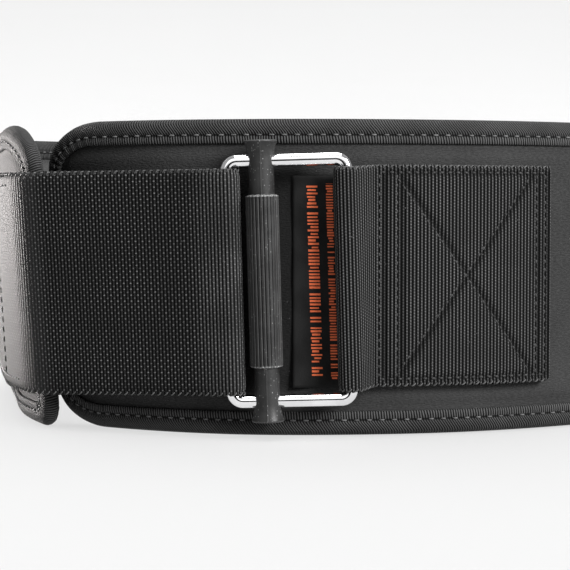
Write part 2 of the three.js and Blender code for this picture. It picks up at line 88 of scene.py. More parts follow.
# %% [markdown]
# The band isn't quite upright everywhere: towards its two ends the top leans out by a few degrees. Real
# foam is never perfectly even either, so a slow ripple of a few tenths of a millimetre runs through all
# the layers together. Because it is inside the one placing function, no layer can cut through another.

# %% Place a point on the belt
LEAN_SHARES = np.array([0, 0.1, 0.62, 0.78, 1.0])
LEAN_DEGREES = np.array([2.5, 0, 0, 3.5, 3.5])
SQUEEZED_RUN = 46.0
SQUEEZE = 3.0


def smoothstep(x, low, high):
    """0 below low, 1 above high, and three t squared minus two t cubed between."""
    t = np.clip((x - low) / (high - low), 0, 1)
    return t * t * (3 - 2 * t)


def lean_at(s):
    """The lean in radians, eased from each row of the table to the next."""
    share = np.clip(s / LENGTH, 0, 1)
    i = np.clip(np.searchsorted(LEAN_SHARES, share, side="right") - 1, 0, len(LEAN_SHARES) - 2)
    t = smoothstep(share, LEAN_SHARES[i], LEAN_SHARES[i + 1])
    return np.radians(LEAN_DEGREES[i] + (LEAN_DEGREES[i + 1] - LEAN_DEGREES[i]) * t)


def vectors(x, y, z):
    """Three arrays as one array of vectors."""
    return np.stack(np.broadcast_arrays(x, y, z), -1).astype(float)


def belt_axes(s):
    """The belt's middle point at distance s, and its axes along, out and up."""
    x, y, heading = plan_at(s)
    lean = lean_at(s)
    level_x, level_y = np.sin(heading), -np.cos(heading)
    out = vectors(level_x * np.cos(lean), level_y * np.cos(lean), -np.sin(lean))
    up = vectors(level_x * np.sin(lean), level_y * np.sin(lean), np.cos(lean))
    along = vectors(np.cos(heading), np.sin(heading), 0.0)
    z = BELT_HEIGHT / 2 * np.cos(lean) - EDGE_ROUND * np.sin(lean)
    return vectors(x, y, z), along, out, up


def ripple(s, height):
    """A slow unevenness: two sines along the belt, one of them slanting with the height."""
    return 0.22 * np.sin(s / 23 + 0.7) + 0.16 * np.sin(s / 11.3 + height / 31 + 2.1)


def sink(s, depth):
    """How far the strap's pull presses the foam in at the left end: a square of the nearness to the end,
    all of it on the outer face and none on the lining."""
    nearness = np.clip(1 - (LENGTH - s) / SQUEEZED_RUN, 0, 1)
    return SQUEEZE * nearness**2 * np.clip(1 + depth / THICKNESS, 0, 1)


def on_belt(s, height, depth):
    """The point at distance s, height from the middle line, depth out from the outer face."""
    s, height, depth = np.broadcast_arrays(*(np.asarray(v, float) for v in (s, height, depth)))
    middle, _, out, up = belt_axes(s)
    return middle + up * height[..., None] + out * (depth - sink(s, depth) + ripple(s, height))[..., None]


# %% [markdown]
# ## From arrays to meshes
#
# A grid of points becomes a mesh by joining each point to its neighbours with a quad. A closed tape wraps
# round in both directions. A cut length of webbing wraps round its section only, and its two ends are
# closed with more quads between its front and its back.

# %% Grids, caps and new pieces


def grid_quads(rows, columns, wrap_rows=False, wrap_columns=False):
    """Each quad's four corners as row and column numbers, before they wrap."""
    i, j = np.meshgrid(
        np.arange(rows if wrap_rows else rows - 1),
        np.arange(columns if wrap_columns else columns - 1),
        indexing="ij",
    )
    return np.stack([[i, j], [i + 1, j], [i + 1, j + 1], [i, j + 1]], 0).reshape(4, 2, -1).transpose(2, 0, 1)


def signed_volume(points, quads):
    """Six times the volume inside the quads, which is negative if they face in."""
    a, b, c, d = (points[quads[:, k]] for k in range(4))
    return np.sum(a * np.cross(b, c)) + np.sum(a * np.cross(c, d))


def new_piece(name, points, quads, uv=None, marks=None):
    """A mesh object from points in plan millimetres, with faces turned outwards and smooth. marks are named
    arrays with a number for each point, kept as attributes that a material can read."""
    points = (points.reshape(-1, 3) - PLAN_ORIGIN) * MM
    if signed_volume(points, quads) < 0:
        quads = quads[:, ::-1]
        uv = None if uv is None else uv[:, ::-1]
    mesh = bpy.data.meshes.new(name)
    mesh.from_pydata(points.tolist(), [], quads.tolist())
    mesh.shade_smooth()
    if uv is not None:
        layer = mesh.uv_layers.new(name="pattern")
        layer.data.foreach_set("uv", np.ascontiguousarray(uv, dtype=np.float32).ravel())
    for mark, values in (marks or {}).items():
        mesh.attributes.new(mark, "FLOAT", "POINT").data.foreach_set("value", values.ravel())
    piece = bpy.data.objects.new(name, mesh)
    bpy.context.collection.objects.link(piece)
    return piece


def skin(name, points, u, v, wrap_rows=False, caps=False, marks=None):
    """A surface whose columns wrap round a section. u runs along the rows and v round the section, both in
    millimetres, and both have one value more than the grid where it wraps. caps closes the two ends."""
    rows, columns = points.shape[:2]
    corners = grid_quads(rows, columns, wrap_rows, True)
    quads = (corners[..., 0] % rows) * columns + corners[..., 1] % columns
    uv = np.stack([u[corners[..., 0]], v[corners[..., 1]]], -1)
    if caps:
        k = np.arange(columns // 2 - 1)
        strip = np.stack([k, k + 1, columns - 2 - k, columns - 1 - k], -1)
        flat_uv = np.stack([np.zeros(strip.shape), v[strip]], -1)
        quads = np.concatenate([quads, strip, strip[:, ::-1] + (rows - 1) * columns])
        uv = np.concatenate([uv, flat_uv, flat_uv[:, ::-1]])
    return new_piece(name, points, quads, uv, marks)


# %% [markdown]
# ## The padded body
#
# On the real belt this is foam between two layers of cloth. It could be a simulated cushion, but the foam
# is firm and only nine millimetres thick, so its shape is known: nearly flat, slightly crowned, and drawn
# in along every edge where the tape is sewn on. A grid with closely spaced rows near the edges follows
# that exactly. The corners of both ends are quarters of an ellipse. On the left half the strap has drawn the
# upper corner out long and left the lower one nearly square. The face gets painted shade in a band around
# the bar and at the end that the strap covers, so each point also carries a number that the material reads.

# %% Padded body and lining
CORNER = (25.0, 17.0)
LONG_CORNER = (38.0, 18.0)
TIGHT_CORNER = (9.3, 9.3)
TAPE_WIDTH = 8.6
PINCH = 1.2
LINING = 1.5
GAP = 0.3
UNDER_TAPE = 1.2


def corner_size(s, below):
    """How far the nearest corner runs along the belt, and how far it rises."""
    left = s > LENGTH / 2
    return tuple(np.where(left, np.where(below, TIGHT_CORNER[k], LONG_CORNER[k]), CORNER[k]) for k in (0, 1))


def half_height(s, inset, below):
    """Half the height left at distance s: the full half less a quarter ellipse's drop near the ends."""
    run, rise = corner_size(s, below)
    from_end = np.minimum(s, LENGTH - s) - inset
    share = np.clip(1 - from_end / (run - inset), 0, 1)
    return BELT_HEIGHT / 2 - inset - (rise - inset) * (1 - np.sqrt(1 - share**2))


def edge_distance(s, height):
    """How far a point is from the belt's edge: straight down, or by the ellipse's radius in a corner."""
    run, rise = corner_size(s, height < 0)
    from_end = np.minimum(s, LENGTH - s)
    from_side = BELT_HEIGHT / 2 - np.abs(height)
    x = np.maximum(1 - from_end / run, 0)
    y = np.maximum(1 - from_side / rise, 0)
    radius = np.maximum(np.hypot(x, y), 1e-9)
    slope = np.maximum(np.hypot(x / run, y / rise), 1e-9)
    corner = (x > 0) & (y > 0)
    return np.where(corner, (1 - radius) * radius / slope, np.minimum(from_end, from_side))


def pad_layer(name, outer_depth, inner_depth):
    """A closed layer between two depths. Each depth is a function of the pinch and the crown."""
    ends = UNDER_TAPE + (CORNER[0] - UNDER_TAPE) * (1 - np.cos(np.linspace(0, np.pi / 2, 20)))
    middle = np.linspace(CORNER[0], LENGTH - CORNER[0], 340)[1:-1]
    s = np.concatenate([ends, middle, LENGTH - ends[::-1]])[:, None]
    steps = np.array([0, 3, 6, 8, 9, 9.8, 10.6, 11.6, 12.8, 14.5, 17, 21, 26, 32, 39, 46, 52.8])
    half = steps[-1]
    t = np.concatenate([steps - half, (half - steps)[-2::-1]]) / half
    height = half_height(s, UNDER_TAPE, t[None, :] < 0) * t[None, :]
    distance = edge_distance(s, height)
    pinch = PINCH * (1 - smoothstep(distance, TAPE_WIDTH + 0.6, TAPE_WIDTH + 5.5))
    crown = 0.45 * smoothstep(distance, TAPE_WIDTH, 45)
    front = on_belt(s, height, outer_depth(pinch, crown))
    back = on_belt(s, height, inner_depth(pinch, crown))[:, ::-1]
    points = np.concatenate([front, back], 1)
    v = np.concatenate([t, 2 - t[::-1], [3]]) * BELT_HEIGHT / 2
    # Painted shade on the outer face only: a band around the bar, and the end where s is 0.
    dark = np.concatenate([rubbed_dark(s, height), 0 * height], 1)
    return skin(name, points, s[:, 0], v, caps=True, marks={"painted_shade": dark})


# Where the face gets painted shade: the band around the bar, along and up, and the run at the end where s is
# 0.
BAR_BAND_ALONG = (76.0, 84.0, 100.0, 104.0)
BAR_BAND_HEIGHT = (37.0, 41.0)
DARK_END = (14.0, 44.0)


def rubbed_dark(s, height):
    """How much painted shade the face gets: 1 in a band around the bar, fading out at its sides and ends, and
    0.6 at the end where s is 0."""
    start, full, fading, gone = BAR_BAND_ALONG
    along = smoothstep(s, start, full) * (1 - smoothstep(s, fading, gone))
    band = along * (1 - smoothstep(np.abs(height), *BAR_BAND_HEIGHT))
    return np.maximum(band, 0.6 * (1 - smoothstep(s, *DARK_END)))


LINING_FACE = LINING - THICKNESS
body = pad_layer(
    "body_padding",
    lambda pinch, crown: crown - pinch,
    lambda pinch, crown: LINING_FACE + GAP + pinch - 0.2 * crown,
)
lining = pad_layer(
    "body_lining",
    lambda pinch, crown: LINING_FACE + pinch - 0.2 * crown,
    lambda pinch, crown: -THICKNESS + pinch - 0.8 * crown,
)
print(f"padding {len(body.data.polygons)} faces, lining {len(lining.data.polygons)} faces")

# %% [markdown]
# ## Ribbed tape over the edges
#
# The tape is one strip folded in half over the edge and sewn through. A curve with a bevel profile could
# make it, but the tape has to stay square to a face that bends and leans, so its section is carried round
# by the same placing function. The row of stitches pulls the tape down, most of all at each needle hole:
# that is a groove in the section, deepened by a cosine along the way. In a corner the tape is too long for
# its inner edge, so it gathers between the stitches, and there the cosine is stronger.

# %% The way round the belt's edge
STITCH_INSET = 5.6
STITCH_PITCH = 4.4


def edge_way():
    """Distance, height and inward direction at dense points once round the edge: quarter ellipses, and
    before each of them a straight stretch of points a millimetre apart."""
    corners = []
    for start, far, top in ((-90, LENGTH, -1), (0, LENGTH, 1), (90, 0.0, 1), (180, 0.0, -1)):
        run, rise = corner_size(far, top < 0)
        a = np.radians(start + np.linspace(0, 90, 40))
        inward = np.stack([-np.cos(a) / run, -np.sin(a) / rise], -1)
        inward /= np.linalg.norm(inward, axis=1)[:, None]
        s = abs(far - run) + run * np.cos(a)
        h = top * (BELT_HEIGHT / 2 - rise) + rise * np.sin(a)
        corners.append(np.column_stack([s, h, inward]))
    stretches = []
    for before, after in zip(corners[-1:] + corners[:-1], corners):
        points = int(np.linalg.norm(after[0] - before[-1]))
        t = np.linspace(0, 1, points)[1:-1, None]
        stretches += [before[-1] + (after[0] - before[-1]) * t, after]
    return np.concatenate(stretches)


def resample(rows, distances, at):
    """Every column of rows, read at new distances."""
    return np.stack([np.interp(at, distances, column) for column in rows.T], -1)


way = edge_way()
closed_way = np.concatenate([way, way[:1]])
way_distance = np.concatenate([[0], np.cumsum(np.linalg.norm(np.diff(closed_way[:, :2], axis=0), axis=1))])
stitch_count = round(way_distance[-1] / STITCH_PITCH)
print(f"edge {way_distance[-1]:.0f} mm round, {stitch_count} stitches on each face")

# %% The tape
STEPS_PER_STITCH = 4


def tape_section():
    """Inset and depth round the tape: a leg, half an ellipse over the edge, a leg, and back inside."""
    leg = np.array([8.6, 8.3, 7.4, 6.6, 6.1, 5.6, 5.1, 4.6])
    depth = np.array([-0.45, -0.12, 0.0, -0.03, -0.16, -0.24, -0.16, -0.02])
    a = np.linspace(0, np.pi, 11)
    over = np.stack([4.1 - 4.1 * np.sin(a), -THICKNESS / 2 + (THICKNESS / 2 + 0.02) * np.cos(a)], -1)
    front = np.stack([leg, depth], -1)
    mirrored = np.stack([leg[::-1], -THICKNESS - depth[::-1]], -1)
    outside = np.concatenate([front, over, mirrored])
    inside = np.array([[8.5, -8.05], [6, -8.0], [3.2, -7.7], [1.1, -6.2], [0.9, -4.5], [1.1, -2.8]])
    inside = np.concatenate([inside, [[3.2, -1.3], [6, -1.0], [8.5, -0.95]]])
    return np.concatenate([outside, inside])


def groove(inset):
    """1 on the row of stitches and 0 a few millimetres away, as a bell curve."""
    return np.exp(-(((inset - STITCH_INSET) / 0.9) ** 2))


steps = stitch_count * STEPS_PER_STITCH
at = np.linspace(0, way_distance[-1], steps + 1)
stations = resample(closed_way, way_distance, at)[:-1]
phase = np.cos(2 * np.pi * np.arange(steps) / STEPS_PER_STITCH)[:, None]
section = tape_section()
inset, depth = section[None, :, 0], section[None, :, 1]
sign = np.where(depth > -THICKNESS / 2, 1, -1)
in_corner = np.abs(2 * stations[:, 2] * stations[:, 3])[:, None]
gathers = in_corner * 0.32 * smoothstep(inset, 1.5, 5.0)
pucker = 0.1 * np.exp(-((inset - 8) ** 2)) + gathers
swell = sign * (-0.16 * groove(inset) * (1 + phase) - pucker * phase)
tape_points = on_belt(
    stations[:, None, 0] + stations[:, None, 2] * inset,
    stations[:, None, 1] + stations[:, None, 3] * inset,
    depth + swell,
)
closed_section = np.concatenate([section, section[:1]])
section_distance = np.concatenate([[0], np.cumsum(np.linalg.norm(np.diff(closed_section, axis=0), axis=1))])
tape = skin("edge_tape", tape_points, at, section_distance, wrap_rows=True)
print(f"tape {len(tape.data.polygons)} faces")

# %% [markdown]
# ## Stitches
#
# One stitch is a short thread that comes up through a hole, lies on the cloth and goes down again. There
# are hundreds, so each has only a few dozen faces. A particle system or a curve with a dash pattern could
# scatter them, but all of them fit in one array operation: a tiny tube is written once, as shares of the
# stitch's length and thickness, and the whole tube is moved to every place at once.

# %% A row of stitches as one piece
THREAD_SIDES = 6
THREAD_SHARES = np.array([-0.5, -0.42, -0.2, 0.2, 0.42, 0.5])
THREAD_RADII = np.array([0.45, 0.9, 1, 1, 0.9, 0.45])
THREAD_RISE = np.array([-1.3, -0.35, 0.35, 0.35, -0.35, -1.3])


def stitches(name, places, forward, normal, length, radius):
    """Threads at places, each along forward and rising along normal by shares of its radius."""
    forward = forward / np.linalg.norm(forward, axis=-1, keepdims=True)
    side = np.cross(forward, normal)
    side /= np.linalg.norm(side, axis=-1, keepdims=True)
    normal = np.cross(side, forward)
    turn = 2 * np.pi * np.arange(THREAD_SIDES) / THREAD_SIDES
    axes = [vector[:, None, None, :] for vector in (forward, side, normal)]
    ahead = (THREAD_SHARES * length)[None, :, None, None]
    ring_side = (THREAD_RADII * radius)[None, :, None, None] * np.cos(turn)[None, None, :, None]
    ring_up = (THREAD_RADII * radius)[None, :, None, None] * np.sin(turn)[None, None, :, None]
    rise = (THREAD_RISE * radius)[None, :, None, None]
    points = places[:, None, None, :] + axes[0] * ahead + axes[1] * ring_side + axes[2] * (ring_up + rise)
    rows = len(THREAD_SHARES)
    corners = grid_quads(rows, THREAD_SIDES, False, True)
    tube = corners[..., 0] * THREAD_SIDES + corners[..., 1] % THREAD_SIDES
    cap = np.array([[0, 1, 2, 3], [0, 3, 4, 5]])
    one = np.concatenate([tube, cap, cap[:, ::-1] + (rows - 1) * THREAD_SIDES])
    each = rows * THREAD_SIDES
    quads = (one[None] + (np.arange(len(places)) * each)[:, None, None]).reshape(-1, 4)
    return new_piece(name, points.reshape(-1, 3), quads)


middles = (np.arange(stitch_count) + 0.5) * way_distance[-1] / stitch_count


def edge_row(name, depth_of_row, facing):
    """The edge's row of stitches on one face, facing 1 for the outer face and -1 for the lining."""

    def place(offset):
        spot = resample(closed_way, way_distance, (middles + offset) % way_distance[-1])
        s = spot[:, 0] + spot[:, 2] * STITCH_INSET
        return on_belt(s, spot[:, 1] + spot[:, 3] * STITCH_INSET, depth_of_row), s

    here, s = place(0.0)
    forward = place(0.6)[0] - place(-0.6)[0]
    return stitches(name, here, forward, facing * belt_axes(s)[2], length=1.9, radius=0.3)


outer_stitches = edge_row("edge_stitches_outer", -0.12, 1)
inner_stitches = edge_row("edge_stitches_inner", -THICKNESS + 0.12, -1)

# %% [markdown]
# ## The buckle's place
#
# The ring stands a little in front of the belt and leans with the strap that pulls it. Its own axes are
# named here, because the strap, the ring and the bar are all worked out from them.

# %% The ring's axes
TONGUE = 97.4
RING_STANDOFF = 7.6
RING_DROP = 0.5
RING_HALF_WIDTH = 20.25
RING_HALF_HEIGHT = 40.7
WIRE = 4.5
WEBBING = 1.9
lean_of_ring = np.radians(1.6)
heading_of_ring = plan_at(TONGUE)[2] - np.radians(1.0)
ring_across = vectors(
    np.cos(heading_of_ring) * np.cos(lean_of_ring),
    np.sin(heading_of_ring) * np.cos(lean_of_ring),
    np.sin(lean_of_ring),
)
ring_back = vectors(-np.sin(heading_of_ring), np.cos(heading_of_ring), 0.0)
ring_up = np.cross(ring_across, ring_back)
belt_middle, _, belt_out, _ = belt_axes(np.array(TONGUE))
ring_middle = belt_middle + belt_out * RING_STANDOFF - np.array([0, 0, RING_DROP])
print("ring's middle:", np.round(ring_middle - PLAN_ORIGIN, 1), "mm")

# %% [markdown]
# ## Webbing
#
# Webbing is a flat weave of thick cross ribs. It could be a plain strip with a bump texture, and from far
# away that is enough, but at a fold the ribs make the outline itself uneven. So the strip is sampled
# several times on every rib and each rib is raised by a cosine. The little floats of yarn on the ribs are
# far too many for geometry, and come later in the material, each with a painted highlight.
#
# The strip's way is a list of stretches: on the belt, round a wire, round the belt's end. A round is an
# arc about a middle point, and the straight stretch between two rounds needs no points of its own.

# %% The way of a strip


def stretch_on_belt(start, end, height, depth, loose=0.0):
    """Stations about a millimetre apart on the belt's face: place, direction along and direction up. A
    loose strip rises by that much more towards the left end."""
    s = np.linspace(start, end, max(2, int(abs(end - start))))
    place = on_belt(s, height, depth + loose * smoothstep(s, LENGTH - 60, LENGTH - 10))
    along = np.gradient(place, axis=0)
    along /= np.linalg.norm(along, axis=1)[:, None]
    return np.concatenate([place, along, belt_axes(s)[3]], 1)


def stretch_round(middle, radius, start, end, up):
    """Stations round a middle, to the left with a positive radius and to the right with a negative one."""
    turn = end - start
    turn += 2 * np.pi * np.ceil(-turn / 2 / np.pi) if radius > 0 else -2 * np.pi * np.ceil(turn / 2 / np.pi)
    heading = start + turn * np.linspace(0, 1, 40)
    place = middle + radius * vectors(np.sin(heading), -np.cos(heading), 0.0)
    along = vectors(np.cos(heading), np.sin(heading), 0.0)
    return np.concatenate([place, along, np.broadcast_to(up, place.shape)], 1)


def heading_between(a, radius_a, b, radius_b):
    """The heading of the line that touches both rounds: the way to b, turned by the radii's arcsine."""
    way_x, way_y = b[0] - a[0], b[1] - a[1]
    return np.arctan2(way_y, way_x) + np.arcsin((radius_a - radius_b) / np.hypot(way_x, way_y))


def strip_distances(way_points, seen=0):
    """How far along the strip each station is, on its middle (0) or on the face that is seen (1 or -1)."""
    face = np.cross(way_points[:, 3:6], way_points[:, 6:9]) * seen * WEBBING / 2
    return np.concatenate([[0], np.cumsum(np.linalg.norm(np.diff(way_points[:, :3] + face, axis=0), axis=1))])


# %% The strip's surface
SEAM_DEPTH = 0.42


def strip_section(width, thickness, columns):
    """Places across and through the strip round its section, with rounded sides."""
    t = np.linspace(-1, 1, columns)
    across = np.sin(t * np.pi / 2) * 0.25 + t * 0.75
    round_off = 1 - 0.55 * smoothstep(np.abs(across), 1 - 1.6 / width, 1)
    front = np.stack([across * width / 2, round_off * thickness / 2], -1)
    return np.concatenate([front, (front * [1, -1])[::-1]])


def webbing_strip(name, way_points, seen, width, rib, rib_depth, steps_per_rib, columns, press, rub, flatten):
    """A strip whose cross ribs are evenly spaced on the face that is seen. At a distance along and across,
    three functions give numbers from 0 to 1: press how hard seams press on the front, the second how much
    painted highlight the ribs get, and flatten how much of their depth is lost."""
    distance = strip_distances(way_points, seen)
    ribs = int(distance[-1] / rib)
    u = np.linspace(0, ribs, ribs * steps_per_rib + 1)
    rows = resample(way_points, distance, u / ribs * distance[-1])
    place, along, up = rows[:, 0:3], rows[:, 3:6], rows[:, 6:9]
    side = np.cross(along, up)
    side /= np.linalg.norm(side, axis=1)[:, None]
    section = strip_section(width, WEBBING - 0.2, columns)
    across, through = section[None, :, 0], section[None, :, 1]
    edge = smoothstep(np.abs(across), width / 2 - 1.8, width / 2)
    flat = flatten(u[:, None] * rib, across)
    relief = (0.5 + 0.5 * np.cos(2 * np.pi * u))[:, None] * (1 - 0.6 * edge) * (1 - 0.6 * flat)
    loops = 0.3 * edge * np.sign(across) * np.cos(np.pi * u[:, None] + 0.6 * np.sign(through))
    wander = 0.25 * np.sin(u * rib / 9.0 + 1.3)[:, None] * edge
    pressed = press(u[:, None] * rib, across) * (through > 0)
    height = through + np.sign(through) * rib_depth * (relief - 0.5) - SEAM_DEPTH * pressed
    points = (
        place[:, None]
        + up[:, None] * (across + loops + wander)[..., None]
        + side[:, None] * height[..., None]
    )
    v = np.append(section[:, 0], section[0, 0])
    marks = {"pressed": pressed, "rubbed": rub(u[:, None] * rib, across), "flattened": flat}
    return skin(name, points, u * rib, v, caps=True, marks=marks)


# %% [markdown]
# The closing strap is sewn to the left half, turns round the belt's left end, passes behind the ring's
# wire, folds round it and comes back the same way one layer further out. The outer layer isn't pulled
# tight: it goes round the end in a wide soft curve. Near the fold round the wire its rib crowns get a
# painted highlight, and the ring squeezes it a little narrower than it is elsewhere.

# %% Closing strap
STRAP_WIDTH = 76.2
STRAP_DROP = 2.3
LOWER = GAP + WEBBING / 2
UPPER = LOWER + WEBBING + GAP
FOLD = WIRE / 2 + GAP + WEBBING / 2
STRAP_RIB = 1.31
STRAP_LOOSE = 0.8
STRAP_SPREAD = 0.023
WIDE_TURN = 18.0
WIDE_TURN_BACK = 8.5
STRAP_SEWN_END = 160.0
STRAP_TAIL = 145.0


def inside_of_turn(s, radius, depth):
    """The middle and the heading of a turn that leaves the belt's face at distance s and this depth."""
    here, before = (on_belt(at, -STRAP_DROP, depth) for at in (s, s - 0.5))
    step = (here - before) / np.linalg.norm(here - before)
    return here - radius * np.array([step[1], -step[0], 0.0]), np.arctan2(step[1], step[0])


turn_at = LENGTH - EDGE_ROUND
wide_at = LENGTH - WIDE_TURN_BACK
turn_up = belt_axes(np.array(turn_at))[3]
wire_left = ring_middle - ring_across * RING_HALF_WIDTH
tight_middle, arriving = inside_of_turn(turn_at, EDGE_ROUND + LOWER, LOWER)
wide_middle, leaving = inside_of_turn(wide_at, WIDE_TURN, UPPER + STRAP_LOOSE)
towards = heading_between(tight_middle, EDGE_ROUND + LOWER, wire_left, -FOLD)
away = heading_between(wire_left, -FOLD, wide_middle, -WIDE_TURN)
under = [
    stretch_on_belt(LENGTH - STRAP_SEWN_END, turn_at, -STRAP_DROP, LOWER)[:-1],
    stretch_round(tight_middle, EDGE_ROUND + LOWER, arriving, towards, turn_up),
]
over = [
    stretch_round(wide_middle, -WIDE_TURN, away, leaving - np.pi, turn_up),
    stretch_on_belt(wide_at, LENGTH - STRAP_TAIL, -STRAP_DROP, UPPER, STRAP_LOOSE)[1:],
]
strap_way = np.concatenate(under + [stretch_round(wire_left, -FOLD, towards, away, ring_up)] + over)
layers = [np.concatenate(layer)[:, None, :3] for layer in (under, over)]
nearest_layers = np.linalg.norm(layers[0] - layers[1].transpose(1, 0, 2), axis=-1).min()

strap_distance = strip_distances(strap_way, -1)
near_wire = np.linalg.norm(strap_way[:, :3] - wire_left, axis=1) < FOLD + 0.01
fold_at = strap_distance[near_wire].mean()
turn_distance = strap_distance[-len(over[1]) - 20]
spread = STRAP_SPREAD * smoothstep(np.abs(strap_distance - fold_at), 6, 18)
strap_way[:, 6:9] *= 1 + spread[:, None]


def no_press(u, across):
    """Nothing presses on the strap's front."""
    return 0 * (u + across)


def wire_rub(u, across):
    """The share of painted highlight: 1 near the fold round the wire, fading to 0 two centimetres from it."""
    return 1 - smoothstep(np.abs(u - fold_at), 9, 21) + 0 * across


def turn_flatten(u, across):
    """1 from the wide turn round the belt's left end to a little past it, where the ribs are drawn flat."""
    past = u - turn_distance
    return smoothstep(past, -13, -3) * (1 - smoothstep(past, 28, 60)) + 0 * across


strap = webbing_strip(
    "closing_strap",
    strap_way,
    seen=-1,
    width=STRAP_WIDTH,
    rib=STRAP_RIB,
    rib_depth=0.3,
    steps_per_rib=4,
    columns=25,
    press=no_press,
    rub=wire_rub,
    flatten=turn_flatten,
)
print(f"strap {strap_distance[-1]:.0f} mm long, {len(strap.data.polygons)} faces")
print(f"its layers come to {nearest_layers:.2f} mm from middle to middle, and it is {WEBBING} mm thick")

# %% [markdown]
# The loop that holds the ring lies in two layers under the sewn square. The square and its two diagonals
# press a shallow valley into the webbing, which is what makes a sewn cross look quilted.

# %% Webbing that holds the ring
ANCHOR_WIDTH = 75.4
ANCHOR_RISE = 0.8
ANCHOR_NEAR = TONGUE + 28.7
ANCHOR_FAR = ANCHOR_NEAR + 64.2
ANCHOR_RIB = 1.3

wire_right = ring_middle + ring_across * RING_HALF_WIDTH
near_lower = on_belt(ANCHOR_NEAR, ANCHOR_RISE, LOWER)
near_upper = on_belt(ANCHOR_NEAR, ANCHOR_RISE, UPPER)
to_wire = heading_between(near_lower, 0.0, wire_right, FOLD)
from_wire = heading_between(wire_right, FOLD, near_upper, 0.0)
anchor_way = np.concatenate(
    [
        stretch_on_belt(ANCHOR_FAR, ANCHOR_NEAR, ANCHOR_RISE, LOWER),
        stretch_round(wire_right, FOLD, to_wire, from_wire, ring_up),
        stretch_on_belt(ANCHOR_NEAR, ANCHOR_FAR, ANCHOR_RISE, UPPER),
    ]
)
anchor_length = strip_distances(anchor_way, 1)[-1]
square_start = anchor_length - (ANCHOR_FAR - ANCHOR_NEAR)

SQUARE_X = (1.2, 7.2, 58.5, 62.0)
SQUARE_Y = 35.3
CROSS = ((7.2, -33.6, 55.6, 33.6), (7.2, 33.6, 55.6, -33.6))


def line_distance(x, y, x0, y0, x1, y1):
    """How far a point is from the stretch of line between two points."""
    dx, dy = x1 - x0, y1 - y0
    t = np.clip(((x - x0) * dx + (y - y0) * dy) / (dx * dx + dy * dy), 0, 1)
    return np.hypot(x - x0 - t * dx, y - y0 - t * dy)


SEAMS = [(x, -SQUARE_Y, x, SQUARE_Y) for x in SQUARE_X]
SEAMS += [(SQUARE_X[0], y, SQUARE_X[-1], y) for y in (-SQUARE_Y, SQUARE_Y)]
SEAMS += list(CROSS)


def square_press(u, across):
    """How hard the seams press on the front: a bell curve of the distance to the nearest seam."""
    x = u - square_start
    nearest = np.min([line_distance(x, across, *seam) for seam in SEAMS], 0)
    return np.exp(-((nearest / 1.1) ** 2))


anchor = webbing_strip(
    "anchor_webbing_loop",
    anchor_way,
    seen=1,
    width=ANCHOR_WIDTH,
    rib=ANCHOR_RIB,
    rib_depth=0.38,
    steps_per_rib=5,
    columns=61,
    press=square_press,
    rub=no_press,
    flatten=no_press,
)
print(f"loop {anchor_length:.0f} mm long, {len(anchor.data.polygons)} faces")

# %% Stitches of the square and of the strap


def seam_stitches(name, seams, pitch, length, radius, spot):
    """Threads along straight seams. spot turns a seam's x and y into a place and a direction out."""
    places, forwards, normals = [], [], []
    for x0, y0, x1, y1 in seams:
        count = max(1, round(np.hypot(x1 - x0, y1 - y0) / pitch))
        t = (np.arange(count) + 0.5) / count
        x, y = x0 + (x1 - x0) * t, y0 + (y1 - y0) * t
        step_x, step_y = 0.01 * (x1 - x0), 0.01 * (y1 - y0)
        here, out = spot(x, y)
        places.append(here)
        forwards.append(spot(x + step_x, y + step_y)[0] - here)
        normals.append(out)
    return stitches(name, *(np.concatenate(a) for a in (places, forwards, normals)), length, radius)


def on_square(x, y):
    """A spot on the front of the sewn square."""
    s = ANCHOR_NEAR + x
    return on_belt(s, ANCHOR_RISE + y, UPPER + WEBBING / 2 - SEAM_DEPTH), belt_axes(s)[2]


def on_tail(x, y):
    """A spot on the front of the strap's tail, x from the belt's left end."""
    s = LENGTH - WIDE_TURN_BACK - x
    loose = STRAP_LOOSE * smoothstep(s, LENGTH - 60, LENGTH - 10)
    return on_belt(s, y - STRAP_DROP, UPPER + loose + WEBBING / 2 - 0.1), belt_axes(s)[2]


TAIL_SEAM_X = (2.0, 26.0, 133.0)
TAIL_SEAM_Y = 34.9
TAIL_SEAMS = [(TAIL_SEAM_X[0], y, TAIL_SEAM_X[-1], y) for y in (-TAIL_SEAM_Y, TAIL_SEAM_Y)]
TAIL_SEAMS += [(x, -TAIL_SEAM_Y, x, TAIL_SEAM_Y) for x in TAIL_SEAM_X[1:]]

square_stitches = seam_stitches(
    "square_stitches", SEAMS, pitch=2.9, length=1.5, radius=0.38, spot=on_square
)
tail_stitches = seam_stitches(
    "strap_stitches", TAIL_SEAMS, pitch=3.6, length=2.6, radius=0.34, spot=on_tail
)

# %% [markdown]
# At both edges of woven webbing the weft turns back in little loops, one for every two ribs. They make the
# edge look like a row of slanting dashes. Each is a short thread again, lying slantwise on the strip's
# rounded side.

# %% Selvage loops


def selvage(name, way_points, seen, width, rib):
    """Threads at every second rib on both sides of a strip, going four parts along to three parts up."""
    distance = strip_distances(way_points, seen)
    ribs = int(distance[-1] / rib)
    at_loop = (np.arange(ribs // 2) * 2 + 1) / ribs * distance[-1]
    rows = resample(way_points, distance, at_loop)
    place, along, up = rows[:, 0:3], rows[:, 3:6], rows[:, 6:9]
    out = np.cross(along, up)
    lean_in = (width / 2 - 0.3) * up
    front = WEBBING / 2 - 0.35
    spots, ways, normals = [], [], []
    for side in (-1, 1):
        for face in (-1, 1):
            spots.append(place + side * lean_in + face * front * out)
            ways.append(along * 0.8 + up * 0.6 * face)
            normals.append(side * up + 0.8 * face * out)
    spots, ways, normals = (np.concatenate(a) for a in (spots, ways, normals))
    return stitches(name, spots, ways, normals, length=1.9, radius=0.24)


